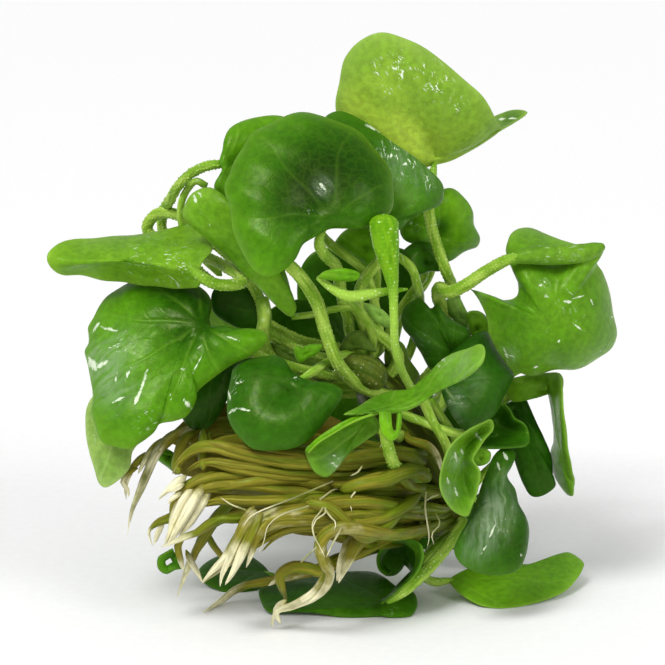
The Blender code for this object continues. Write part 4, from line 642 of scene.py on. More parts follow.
# Hair roots: their paths.
HAIRS = [
    [(333, 481, 19), (317, 488, 20), (294, 498, 23), (273, 506, 26), (250, 517, 28), (243, 527, 28)],
    [(348, 490, 17), (336, 489, 18), (322, 498, 22), (308, 506, 26), (281, 515, 28), (268, 526, 28),
        (264, 541, 27), (259, 553, 25)],
    [(320, 499, 26), (323, 507, 27), (313, 522, 29), (314, 535, 31), (320, 547, 31), (325, 557, 30)],
    [(322, 501, 26), (326, 512, 28), (316, 520, 30), (313, 528, 31)],
    [(342, 527, 30), (337, 536, 31), (333, 543, 31), (326, 558, 29)],
    [(324, 507, 27), (330, 516, 29), (336, 523, 30), (334, 530, 31)],
    [(372, 478, 20), (360, 487, 20), (350, 500, 22), (352, 512, 24)],
    [(438, 495, 8), (432, 497, 9), (426, 501, 9)],
    [(426, 492, 9), (425, 507, 8), (429, 538, 5), (427, 548, 4)],
    [(436, 514, 6), (440, 524, 5), (432, 534, 5), (434, 545, 4)],
    [(301, 562, 19), (309, 554, 26), (317, 547, 30)],
    [(246, 510, 26), (232, 505, 22), (220, 497, 20)],
    [(394, 437, 14), (384, 441, 13), (379, 449, 12)],
    [(362, 466, 20), (358, 472, 20), (350, 476, 19)],
]

# Curled bands of leaf: the edge nearer to the viewer and the one behind it, how far the band bellies out in
# millimetres, and its look. turned: its underside faces outwards. nodes: the solids that it stands for.
BANDS = {
    "front_floor_curl": dict(shade="dark_green", nodes=["front_floor_leaf"], belly=0.7,
        near_edge=[(381, 604, 1), (392, 596, 3.4), (402, 588, 4.4), (412, 579, 5), (419, 569, 5.6),
        (423, 557, 6), (421, 546, 5.4), (413, 539.5, 4), (403, 537, 2.4), (393, 539.5, 0.4), (384, 546, -2),
        (378.5, 554, -5), (377.5, 562, -7), (380, 570, -8.6), (387, 575.5, -9.4)], far_edge=[(383, 603, -2),
        (394, 598, -1), (403, 590, -2), (411, 580, -4), (415, 570, -6), (417, 560, -8), (415, 551, -9),
        (409, 545, -10), (402, 542, -10.6), (395, 544, -11), (387, 549, -11.6), (382, 556, -12),
        (381.5, 562, -12.4), (384, 568, -12.6), (390, 573, -12.6)], tone_and_shade=[(400, 556, 24, 1.2),
        (415, 552, 12, 0.5), (405, 585, 16, 1)], painted_glint=[(396, 592, 6, 0.5)]),
    "lower_fold": dict(shade="bright_green", nodes=["young_leaf_lower"], belly=0.3, turned=True,
        near_edge=[(380, 412.5, 28.2), (366, 416.5, 29), (350, 423.5, 29.3), (334, 433, 29.3), (318, 443, 29),
        (308, 453, 27.6)], far_edge=[(372, 412.5, 27), (358, 416.5, 27.6), (345, 421.5, 28), (330, 430, 28.2),
        (315, 441, 27.8), (306, 451, 26.4)], tone_and_shade=[(345, 425, 40, 0.15)]),
    "young_sheath": dict(shade="bright_green", nodes=["young_stalk"], belly=0.5, near_edge=[(379, 412, 29.8),
        (379.5, 424, 30.6), (383, 435, 31), (390, 441, 31), (397, 438, 30.4), (401, 428, 29.6),
        (402, 413, 28.4)], far_edge=[(391, 412, 29.4), (391.5, 421, 30), (392, 427, 30.2), (393.5, 431.5, 30),
        (395.5, 430, 29.6), (396.5, 422, 29), (397, 412, 28)], tone_and_shade=[(388, 430, 14, 0.45)]),
    "old_curl": dict(shade="dark_green", slot="root", belly=0.9, near_edge=[(173, 549, 9), (166, 553, 9.5),
        (159, 558, 10), (159, 568, 10), (166, 573, 9.5), (175, 569, 9), (182, 567, 8.5), (178, 558, 8),
        (175, 552, 8)], far_edge=[(171, 556, 6.5), (166, 557, 6.5), (163, 561, 7), (164, 565, 7),
        (168, 568, 6.5), (172, 565, 6), (174.5, 563, 6), (174, 560, 6), (172, 557, 6)],
        tone_and_shade=[(165, 560, 16, 0.8)]),
}

# Rolled margins: the roll's path, its radii and its look.
ROLLS = {
    "right_leaf_roll": dict(shade="fresh_green", node="right_leaf", path=[(511, 262, 10.4),
        (519, 257.5, 10.6), (532, 255.5, 10.6), (550, 255, 10.2), (568, 254.5, 9.6), (584, 253, 8.8),
        (596, 249, 7.8), (604, 246, 6.6)], radius=[0.9, 1.9, 2.3, 2.5, 2.5, 2.5, 2.4, 1.9, 0.8],
        tone_and_shade=[(550, 262, 60, -0.35)], painted_glint=[(560, 258, 24, 0.4)]),
}


def unit(vectors):
    return vectors / np.linalg.norm(vectors, axis=-1, keepdims=True)


def seen(places):
    """The points in space, in metres, of places given as (column, row, near)."""
    place = np.array(places, float)
    near = place[:, 2:3] * MM
    scale = POINT_SIZE * (1 - near / VIEW_DISTANCE)
    across = (place[:, 0:1] - MIDDLE) * scale
    up = (MIDDLE - place[:, 1:2]) * scale
    return VIEW_CENTRE + across * RIGHT + up * UP + near * TOWARDS


def place_of(points):
    """Column and row of points in space: seen() turned round."""
    offset = points - VIEW_CENTRE
    scale = POINT_SIZE * (1 - (offset @ TOWARDS) / VIEW_DISTANCE)
    return MIDDLE + (offset @ RIGHT) / scale, MIDDLE - (offset @ UP) / scale


def smooth_curve(points, at, closed=False):
    """Places along the smooth curve through the points, counted in points from the first.

    Between two points it is the cubic that meets both with the direction each has there. A point's direction
    is the mean of the ways in and out, weighed by the root of their lengths. Columns past the third, such as
    a share, follow the same curve.
    """
    if closed:
        before = np.roll(points, 1, axis=0)
        after = np.roll(points, -1, axis=0)
    else:
        before = np.vstack([2 * points[0] - points[1], points[:-1]])
        after = np.vstack([points[1:], 2 * points[-1] - points[-2]])
    way_in = np.linalg.norm((points - before)[:, :3], axis=1, keepdims=True) ** 0.5
    way_out = np.linalg.norm((after - points)[:, :3], axis=1, keepdims=True) ** 0.5
    slope = ((points - before) / way_in * way_out + (after - points) / way_out * way_in) / (way_in + way_out)
    start = np.floor(at).astype(int)
    if not closed:
        start = np.clip(start, 0, len(points) - 2)
    t = (at - start)[:, None]
    a = start % len(points)
    b = (start + 1) % len(points)
    span = way_out[a]
    return ((1 + 2 * t) * (1 - t) ** 2 * points[a] + t * (1 - t) ** 2 * span * slope[a]
            + t**2 * (3 - 2 * t) * points[b] - t**2 * (1 - t) * span * slope[b])


def even_curve(points, step, closed=False, fewest=6):
    """The smooth curve through the points, as points a step apart, and how far along it each lies."""
    last = len(points) if closed else len(points) - 1
    fine_at = np.linspace(0, last, CURVE_STEPS * len(points))
    fine = smooth_curve(points, fine_at, closed)
    length = np.r_[0, np.cumsum(np.linalg.norm(np.diff(fine[:, :3], axis=0), axis=1))]
    count = max(fewest, round(length[-1] / step) + 1)
    wanted = np.linspace(0, length[-1], count)
    if closed:
        wanted = wanted[:-1]
    return smooth_curve(points, np.interp(wanted, length, fine_at), closed), wanted


def closed_grid(rows, start, end):
    """Points and faces of a closed skin: rows of points, each a closed ring, and a pole at each end."""
    count, sides = rows.shape[:2]
    points = np.vstack([rows.reshape(-1, 3), start, end])
    row, side = np.meshgrid(np.arange(count - 1), np.arange(sides), indexing="ij")
    a = (row * sides + side).ravel()
    b = (row * sides + (side + 1) % sides).ravel()
    walls = np.stack([a, b, b + sides, a + sides], axis=1)
    side = np.arange(sides)
    after = (side + 1) % sides
    foot = (count - 1) * sides
    low = np.stack([after, side, 0 * side + count * sides], axis=1)
    high = np.stack([foot + side, foot + after, 0 * side + count * sides + 1], axis=1)
    triangles = np.vstack([low, high])
    cuts = np.vstack([walls[:, :3], walls[:, [0, 2, 3]], triangles])
    corner = points[cuts] - points[0]
    if np.sum(corner[:, 0] * np.cross(corner[:, 1], corner[:, 2])) < 0:
        walls = walls[:, ::-1]
        triangles = triangles[:, ::-1]
    return points, walls.tolist() + triangles.tolist()


def grid_normals(grid):
    """The upright of a grid of points at each point, from the ways along and across it."""
    along = np.gradient(grid, axis=0)
    wrapped = np.concatenate([grid[:, -1:], grid, grid[:, :1]], axis=1)
    across = (wrapped[:, 2:] - wrapped[:, :-2]) / 2
    normal = np.cross(along, across)
    normal[0] = normal[1].mean(axis=0)
    return unit(normal)


def patches(points, spots):
    """The sum of soft round spots seen in the front view: (column, row, reach, strength) each."""
    column, row = place_of(points)
    total = np.zeros(points.shape[:-1])
    for spot_column, spot_row, reach, strength in spots:
        away = ((column - spot_column) ** 2 + (row - spot_row) ** 2) / reach**2
        total += strength * np.exp(-away)
    return total


def strokes(points, lines):
    """How near the points come to short lines seen in the front view: (column, row, column, row, reach) each.

    A line is widest in its middle and pointed at its ends.
    """
    column, row = place_of(points)
    nearest = np.zeros(points.shape[:-1])
    for first_column, first_row, last_column, last_row, reach in lines:
        across = last_column - first_column
        down = last_row - first_row
        share = ((column - first_column) * across + (row - first_row) * down) / (across**2 + down**2)
        share = np.clip(share, 0, 1)
        away = np.hypot(column - first_column - share * across, row - first_row - share * down)
        nearest = np.maximum(nearest, np.exp(-(away / reach / (0.4 + 0.8 * np.sin(pi * share))) ** 2))
    return nearest


def drawn_marks(points, leaf):
    """The marks that are drawn on a leaf's skin: spots partly its own colour and partly painted light and
    shade, spots of painted grey sheen, spots of painted white highlight and painted highlight strokes.
    """
    marks = {key: patches(points, leaf.get(key, [])) for key in ("tone_and_shade", "sheen", "painted_glint")}
    marks["gleam"] = strokes(points, leaf.get("gleam", []))
    return marks


def ripples(flat, seed):
    """Soft random waves over a plane: the mean of sine waves whose lengths lie under the longest."""
    waves = np.random.default_rng(seed)
    turn = waves.uniform(0, 2 * pi, WAVE_COUNT)
    length = waves.uniform(0.35, 1, WAVE_COUNT) * LONGEST_WAVE
    phase = waves.uniform(0, 2 * pi, WAVE_COUNT)
    across = flat[..., 0, None] * np.cos(turn) + flat[..., 1, None] * np.sin(turn)
    return np.sin(2 * pi * across / length + phase).mean(axis=-1)


def margin_of(leaf):
    """The margin's points in metres with each one's share of the bow, as the solid has them."""
    column, row = leaf["stalk"]
    across, up = leaf["lean"]
    places = []
    shares = []
    for place in leaf["margin"]:
        step = place[2] if len(place) > 2 else 0
        lean = across * (place[0] - column) + up * (row - place[1])
        places.append((place[0], place[1], leaf["near"] + lean * POINT_SIZE / MM + step))
        shares.append(place[3] if len(place) > 3 else 1)
    return np.column_stack([seen(places), shares])


def grown(away, start, full):
    """How full a thing is: nothing at the start, all at the full, in millimetres from the stalk."""
    return np.clip((away / MM - start) / (full - start), 0, 1)


def veined(flat, leaf):
    """Height and vein mark of a blade, in a plane whose first axis runs from the stalk to the tip.

    Main veins fan out from the stalk at even angles and bend towards the tip. Side veins leave them slanting
    outwards. The blade bulges between veins and is drawn in along them.
    """
    away = np.hypot(flat[..., 0], flat[..., 1])
    turn = np.arctan2(flat[..., 1], flat[..., 0])
    reach = away.max()
    fan = leaf.get("veins", MAIN_VEINS)
    order = turn / pi * fan * (1 - 0.16 * away / reach) + 0.05 * np.sin(away / VEIN_SWAY)
    off = order - np.round(order)
    spacing = np.abs(off) * pi / fan * away
    main = np.exp(-(spacing / (VEIN_WIDTH - VEIN_THINNING * away / reach)) ** 2)
    slant = away / SIDE_VEIN_SPACING - SIDE_VEIN_SLANT * np.abs(off) + 0.37 * np.round(order)
    side_off = slant - np.round(slant)
    side = np.exp(-(side_off * SIDE_VEIN_SPACING / SIDE_VEIN_WIDTH) ** 2) * grown(away, 2.4, 8.4)
    bulge = np.sin(pi * np.abs(off)) ** 2 * grown(away, 0, 12)
    pillow = np.cos(pi * side_off) ** 2 * grown(away, 2.7, 11.7)
    mark = np.clip(main + 0.45 * side, 0, 1) * leaf.get("vein", 1)
    fade = grown(away, 0, 5) ** 2
    height = 0.75 * bulge + 0.3 * pillow * bulge**0.5 - 0.4 * mark
    return height * fade, mark * fade


def softened(values, waves):
    """The values round a ring with only their few slowest waves kept."""
    parts = np.fft.fft(values)
    pace = np.abs(np.fft.fftfreq(len(values)) * len(values))
    return np.fft.ifft(parts * np.exp(-(pace / waves) ** 2)).real


def fan_sheet(leaf):
    """The middle sheet of a blade, the shares t of its rings, the margin, the hub and its plane's upright.

    Straight spokes run from the hub out to the smooth margin. A point a share t along its spoke is moved by
    the bow times 4t(1 - t). Its height over the leaf's own plane is the margin's, evened out round the ring,
    times t to the power of the rise, and comes to the margin's own height as t to that power plus two.
    """
    corners = margin_of(leaf)
    step = leaf.get("step", BLADE_STEP)
    margin, _ = even_curve(corners, step, closed=True, fewest=40)
    share = margin[:, 3:4]
    margin = margin[:, :3]
    hub = seen([leaf.get("hub", (*leaf["stalk"], leaf["near"]))])[0]
    spoke = margin - hub
    length = np.linalg.norm(spoke, axis=1, keepdims=True)
    share = share * np.minimum(length / np.linalg.norm(corners[:, :3] - hub, axis=1).mean(), 1)
    share = np.maximum(softened(share[:, 0], BOW_WAVES), 0)[:, None]
    _, _, axes = np.linalg.svd(margin - margin.mean(axis=0), full_matrices=False)
    upright = axes[2] * np.sign(axes[2] @ TOWARDS)
    rise = spoke @ upright
    flat = spoke - rise[:, None] * upright
    rings = max(7, round(np.percentile(length, 70) / step))
    t = np.linspace(0, 1, rings + 1)[:, None, None]
    soft = softened(rise, RISE_WAVES)
    level = rise.mean()
    risen = t**leaf.get("rise", BLADE_RISE) * (soft - level + (rise - soft) * t[..., 0] ** 2)[..., None]
    risen = risen + level * t**2
    bow = (leaf["bow"] * TOWARDS + leaf.get("bow_up", 0) * UP) * MM
    sheet = hub + t * flat + risen * upright + 4 * t * (1 - t) * share * bow
    return sheet, t[..., 0], margin, hub, upright


def blade(leaf):
    """The closed skin of a leaf, and its marks.

    Veins, pillows and ripples lift the fan's sheet along its normal, and two such sheets, half a thickness
    each side, meet in a round rim. vein, under and rim say what a point lies on, forward and aside how many
    millimetres it lies along and beside the middle vein.
    """
    sheet, t, margin, hub, upright = fan_sheet(leaf)
    rings = len(sheet) - 1
    normal = grid_normals(sheet)
    normal *= np.sign(np.sum(normal @ TOWARDS))
    root = seen([(*leaf.get("origin", leaf["stalk"]), leaf["near"])])[0]
    tip = leaf.get("tip")
    forward = (seen([(*tip, leaf["near"])])[0] if tip else margin.mean(axis=0)) - root
    forward = unit(forward - (forward @ upright) * upright)
    sideways = np.cross(upright, forward)
    plane = np.stack([(sheet - root) @ forward, (sheet - root) @ sideways], axis=-1)
    height, vein = veined(plane, leaf)
    facing = 1 if leaf.get("upper", True) else -1
    edge = t**10
    lift = facing * leaf.get("quilt", USUAL_QUILT) * height * (1 - edge)
    lift = lift + leaf.get("wave", USUAL_WAVE) * ripples(plane, leaf.get("seed", 1)) * t
    lift = lift - leaf.get("curl", USUAL_CURL) * edge * facing
    sheet = sheet + normal * (lift * MM)[..., None]
    half = BLADE_THICKNESS / 2 * (1 - 0.35 * edge)[..., None]
    rests = leaf.get("rests", False)
    if rests:
        sheet[..., 2] = np.maximum(sheet[..., 2], half[..., 0])
    front = sheet + normal * half
    back = sheet - normal * half
    rim = sheet[-1] + unit(margin - hub) * BLADE_THICKNESS * 0.3
    rows = np.concatenate([front[1:], rim[None], back[:0:-1]])
    if rests:
        rows[..., 2] = np.maximum(rows[..., 2], GROUND_GAP)
    points, faces = closed_grid(rows, front[:1, 0], back[:1, 0])
    under = np.concatenate([np.zeros(rings), [0.5], np.ones(rings)])
    if facing < 0:
        under = 1 - under
    rimmed = np.concatenate([t[1:, 0] ** 14, [1], t[:0:-1, 0] ** 14])
    across = np.ones(len(margin))
    marks = {
        "vein": np.r_[np.concatenate([vein[1:], vein[-1:], vein[:0:-1]]).ravel(), vein[0, 0], vein[0, 0]],
        "under": np.r_[(under[:, None] * across).ravel(), under[0], under[-1]],
        "rim": np.r_[(rimmed[:, None] * across).ravel(), 0, 0],
        "forward": (points - root) @ forward / MM,
        "aside": (points - root) @ sideways / MM,
        **drawn_marks(points, leaf)}
    return points, faces, marks


def frames_along(middle):
    """Two directions square to a path at each of its points, from the way that the path bends in least."""
    along = unit(np.gradient(middle, axis=0))
    _, _, axes = np.linalg.svd(along, full_matrices=False)
    side = unit(np.cross(along, axes[2]))
    return along, side, np.cross(along, side)


def ribbon(band):
    """The closed skin of a curled band of leaf between two smooth edges, with the marks of a blade.

    A point a share v of the way across is moved along the band's upright by the belly times 4v(1 - v).
    """
    near_edge = band["near_edge"]
    far_edge = band["far_edge"]
    at = np.linspace(0, len(near_edge) - 1, BAND_POINTS)
    first = smooth_curve(seen(near_edge), at)
    second = smooth_curve(seen(far_edge), at * (len(far_edge) - 1) / (len(near_edge) - 1))
    v = np.linspace(0, 1, BAND_ROWS)[:, None]
    sheet = first[:, None] * (1 - v) + second[:, None] * v
    upright = unit(np.cross(np.gradient(sheet, axis=0), (second - first)[:, None]))
    sheet = sheet + upright * 4 * v * (1 - v) * band["belly"] * MM
    half = BLADE_THICKNESS / 2
    skin = np.concatenate([sheet + upright * half, (sheet - upright * half)[:, ::-1]], axis=1)
    points, faces = closed_grid(skin, sheet[:1, BAND_ROWS // 2], sheet[-1:, BAND_ROWS // 2])
    length = np.r_[0, np.cumsum(np.linalg.norm(np.diff(first, axis=0), axis=1))] / MM
    under = np.r_[np.zeros(BAND_ROWS), np.ones(BAND_ROWS)]
    if band.get("turned", False):
        under = 1 - under
    there = np.r_[v[:, 0], v[::-1, 0]]
    along = np.ones(BAND_POINTS)[:, None]
    marks = {
        "vein": np.zeros(len(points)),
        "under": np.r_[(along * under).ravel(), 0.5, 0.5],
        "rim": np.r_[(along * np.abs(2 * there - 1) ** 12).ravel(), 1, 1],
        "forward": np.r_[np.repeat(length, 2 * BAND_ROWS), 0, 0],
        "aside": np.r_[(along * there * BAND_WIDTH).ravel(), 0, 0],
        **drawn_marks(points, band)}
    return points, faces, marks


def papilla_bumps(length, angle, radius, seed):
    """Papillae round a tube: rings of them, each ring turned and each papilla as high as chance has it.

    The height falls as exp(-d^2) with the distance d from the papilla.
    """
    around = max(3, round(2 * pi * radius / PAPILLA_SPACING))
    row = length / PAPILLA_SPACING
    rung = np.round(row).astype(int)
    drift = np.random.default_rng(seed + PAPILLA_SEEDS)
    heights = drift.uniform(0.3, 1, (rung[-1] + 1, around))
    turn = around * angle / (2 * pi) + drift.uniform(0, 1, rung[-1] + 1)[rung][:, None]
    slot = np.round(turn).astype(int)
    bump = np.exp(-(((row - rung)[:, None] ** 2 + (turn - slot) ** 2) / PAPILLA_REACH**2))
    return bump * heights[rung[:, None], slot % around]


def ridge_waves(length, angle, seed):
    """Ridges round a tube: the sum of waves that wind round it, each begun where chance has it."""
    turns = np.random.default_rng(seed).uniform(0, 2 * pi, 4)
    wind = length[:, None] * RIDGE_WIND
    beat = np.sin(length * RIDGE_BEAT + turns[2])[:, None]
    return (np.cos(3 * angle + wind + turns[0]) + 0.6 * np.cos(5 * angle - 1.7 * wind + turns[1])
            + 0.5 * beat + 0.5 * np.sin(2 * angle + 3 * wind + turns[3]))


def tube(path, radius, sides=PLAIN_SIDES, step=PLAIN_STEP, papillae=0.0, ridges=0.0, seed=0, start=0.0):
    """The closed skin of a round stalk or root along a smooth path, and its marks.

    The radius runs between the given ones, grows from a point over the start and closes with a round end. The
    marks say how far a point lies along the path, as a share and in millimetres, and where round it.
    """
    middle, length = even_curve(np.array(path, float), step)
    share = np.linspace(0, 1, len(middle))
    radii = np.interp(share, np.linspace(0, 1, len(radius)), radius) * MM
    if start:
        radii = radii * (0.2 + 0.8 * np.clip(length / start, 0, 1) ** 0.5)
    left = np.clip((length[-1] - length) / (ROUND_END * radii[-1]), 0, 1)
    radii = radii * np.maximum(np.sqrt(1 - (1 - left) ** 2), 0.15)
    along, side, other = frames_along(middle)
    angle = np.arange(sides) * 2 * pi / sides
    bump = papilla_bumps(length, angle, radii.mean(), seed)
    radii = radii[:, None]
    out = radii * (1 + ridges * ridge_waves(length, angle, seed)) + papillae * bump * np.minimum(radii, MM)
    ring = side[:, None] * np.cos(angle)[:, None] + other[:, None] * np.sin(angle)[:, None]
    rows = middle[:, None] + ring * out[..., None]
    first = middle[:1] - along[:1] * radii[0] * 0.4
    last = middle[-1:] + along[-1:] * radii[-1] * 0.2
    points, faces = closed_grid(rows, first, last)
    shift = GRAIN_SHIFT * seed
    marks = {
        "along": np.r_[np.repeat(share, sides), 0, 1],
        "forward": np.r_[np.repeat(length, sides), 0, length[-1]] / MM,
        "round_x": np.r_[(radii / MM * np.cos(angle)).ravel(), 0, 0] + shift,
        "round_y": np.r_[(radii / MM * np.sin(angle)).ravel(), 0, 0],
        "bump": np.r_[bump.ravel() * (papillae > 0), 0, 0]}
    return points, faces, marks


def joined(parts):
    """Several closed skins as the points, faces and marks of one mesh."""
    points = np.vstack([part[0] for part in parts])
    starts = np.cumsum([0] + [len(part[0]) for part in parts[:-1]])
    faces = [[index + start for index in face] for part, start in zip(parts, starts) for face in part[1]]
    marks = {key: np.concatenate([part[2][key] for part in parts]) for key in parts[0][2]}
    return points, faces, marks


def put(name, skin, material, slot, *nodes):
    """Makes the skin a piece that rides on the plant and stands for the given nodes."""
    points, faces, marks = skin
    mesh = bpy.data.meshes.new(name)
    mesh.from_pydata(points.tolist(), [], faces)
    for key, values in marks.items():
        mesh.attributes.new(key, "FLOAT", "POINT").data.foreach_set("value", np.array(values, np.float32))
    mesh.shade_smooth()
    mesh.materials.append(material)
    piece = bpy.data.objects.new(name, mesh)
    bpy.context.scene.collection.objects.link(piece)
    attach(piece, "root")
    if nodes:
        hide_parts(*nodes)


FLOAT = "NodeSocketFloat"
COLOUR = "NodeSocketColor"
OUTPUTS = [("Colour", COLOUR), ("Roughness", FLOAT), ("Height", FLOAT)]

# How many turns to the metre each pattern in the skins makes.
CLOUDS = 95.0
MOTTLES = 620.0
NET = 430.0
BENDS = 240.0
GLINT_PATCHES = 420.0
GLINT_SPECKS = 1150.0
TORN_EDGES = 800.0
SKIN_GRAINS = 1500.0
SHINE_GRAINS = 700.0
STALK_FLICKER = 1100.0
STALK_GRAINS = 1250.0
STALK_SHINE = 600.0
ROOT_CLOUDS = 120.0
ROOT_SHINE = 420.0
PAPER_GRAINS = 400.0

# Streaks drawn out along a leaf, a stalk or a root: turns to the millimetre (along, aside) or (round, along).
LEAF_HAZE = (0.12, 0.75)
LEAF_STREAKS = (0.5, 1.7)
STALK_STREAKS = (0.8, 0.16)
ROOT_GREENS = (0.7, 0.05)
ROOT_FIBRES = (1.7, 0.14)

# Colours that every plant has, and the painted grey sheen and painted white highlights, as the eye reads them
# from 0 to 255.
SHEEN_GREY = (158, 178, 146)
GLINT_WHITE = (222, 234, 208)
STALK_GLINT_WHITE = (222, 234, 196)
STALK_JOINT = (100, 152, 26)
YOUNG_FOOT = (156, 196, 72)
ROOT_GREEN = (98, 120, 20)

# How the light takes the skins: how strong and how tinted the reflection is, and the thin water over it.
REFLECTION = 0.22
REFLECTION_TINT = (0.8, 1.0, 0.25, 1)
WATER_COAT = 0.05
WATER_ROUGHNESS = 0.15
RELIEF_DEPTH = 0.4 * MM


def linear(red, green, blue):
    """The colour as the shader takes it, from 0-255 values as the eye reads them."""
    part = np.array([red, green, blue]) / 255
    return (*np.where(part <= 0.04045, part / 12.92, ((part + 0.055) / 1.055) ** 2.4), 1.0)


def node(tree, kind, values=(), **settings):
    """A new node with its settings, its inputs set to plain values or linked to other nodes' outputs."""
    made = tree.nodes.new(kind)
    for key, value in settings.items():
        setattr(made, key, value)
    for socket, value in dict(values).items():
        if isinstance(value, bpy.types.NodeSocket):
            tree.links.new(value, made.inputs[socket])
        else:
            made.inputs[socket].default_value = value
    return made


def maths(tree, operation, *values):
    return node(tree, "ShaderNodeMath", enumerate(values), operation=operation).outputs[0]


def times(tree, first, second):
    return maths(tree, "MULTIPLY", first, second)


def plus(tree, first, second):
    return maths(tree, "ADD", first, second)


def mixed(tree, factor, first, second):
    """The first colour with a factor of the second mixed in."""
    return node(tree, "ShaderNodeMix", {0: factor, 6: first, 7: second}, data_type="RGBA").outputs[2]


def scaled(tree, colour, factor):
    """The colour made brighter or darker by a factor."""
    return node(tree, "ShaderNodeVectorMath", {0: colour, "Scale": factor}, operation="SCALE").outputs[0]


def stretched(tree, place, scale):
    """The place with each of its parts made longer or shorter by its own factor."""
    return node(tree, "ShaderNodeVectorMath", {0: place, 1: scale}, operation="MULTIPLY").outputs[0]


def together(tree, *parts):
    """One place from its parts."""
    return node(tree, "ShaderNodeCombineXYZ", enumerate(parts)).outputs[0]


def toned(tree, colour, tone_and_shade):
    """The colour made brighter by two to the power of its third input, which holds painted light and shade as
    well as the leaf's own lighter and darker colour. Its red follows most, so painted shade is greener.
    """
    shares = [maths(tree, "POWER", 2.0, times(tree, tone_and_shade, speed)) for speed in (1.5, 1.0, 1.4)]
    return stretched(tree, colour, together(tree, *shares))


def stepped(tree, value, low, high, out_low=0.0, out_high=1.0):
    """The value's place between low and high, eased, as a place between two other values."""
    places = {0: value, 1: low, 2: high, 3: out_low, 4: out_high}
    return node(tree, "ShaderNodeMapRange", places, interpolation_type="SMOOTHSTEP").outputs[0]


def mark(tree, name):
    """One of the piece's own marks."""
    return node(tree, "ShaderNodeAttribute", attribute_name=name).outputs["Fac"]


def object_place(tree):
    return node(tree, "ShaderNodeTexCoord").outputs["Object"]


def noise(tree, place, scale, detail=2.0):
    return node(tree, "ShaderNodeTexNoise", {"Vector": place, "Scale": scale, "Detail": detail}).outputs[0]


def cells(tree, place, scale, feature="F1"):
    """How far the place is from the middle of its cell, or from the cell's edge."""
    made = node(tree, "ShaderNodeTexVoronoi", {"Vector": place, "Scale": scale}, feature=feature)
    return made.outputs["Distance"]


def grain_noise(tree, scale, detail):
    """Noise drawn out along a stalk or root: its turns to the millimetre round it and along it."""
    place = together(tree, mark(tree, "round_x"), mark(tree, "round_y"), mark(tree, "forward"))
    around, along = scale
    return noise(tree, stretched(tree, place, (around, around, along)), 1.0, detail)


def new_group(name, inputs):
    """An empty skin group: inputs by name, each a colour or a value, and the outputs that every skin has."""
    tree = bpy.data.node_groups.new(name, "ShaderNodeTree")
    for label, value in inputs.items():
        kind = COLOUR if isinstance(value, tuple) else FLOAT
        socket = tree.interface.new_socket(label, in_out="INPUT", socket_type=kind)
        socket.default_value = linear(*value) if isinstance(value, tuple) else value
    for label, kind in OUTPUTS:
        tree.interface.new_socket(label, in_out="OUTPUT", socket_type=kind)
    return tree, node(tree, "NodeGroupInput").outputs


def send(tree, colour, roughness, height):
    node(tree, "NodeGroupOutput", {"Colour": colour, "Roughness": roughness, "Height": height})


def painted_glints(tree, place):
    """Painted white highlights on a leaf, as of light on water: streaks along it, specks between them, and
    the strokes drawn for it.
    """
    bend = plus(tree, mark(tree, "aside"), times(tree, noise(tree, place, BENDS), 2.6))
    drawn = together(tree, mark(tree, "forward"), bend)
    patchy = stepped(tree, noise(tree, place, GLINT_PATCHES), 0.46, 0.6)
    quick = noise(tree, stretched(tree, drawn, (*LEAF_STREAKS, 1.0)), 1.0, 3.0)
    streak = times(tree, stepped(tree, quick, 0.57, 0.64), patchy)
    speck = times(tree, stepped(tree, cells(tree, place, GLINT_SPECKS), 0.16, 0.3, 1.0, 0.0), patchy)
    shine = maths(tree, "MAXIMUM", streak, times(tree, speck, 0.55))
    painted_glint = maths(tree, "MINIMUM", times(tree, mark(tree, "painted_glint"), shine), 1.0)
    # The gleam strokes are painted white highlights with torn edges.
    torn = stepped(tree, noise(tree, place, TORN_EDGES, 3.0), 0.25, 0.75, -0.3, 0.3)
    gleam = stepped(tree, plus(tree, mark(tree, "gleam"), torn), 0.4, 0.95, 0.0, 0.85)
    return drawn, maths(tree, "MAXIMUM", painted_glint, gleam)


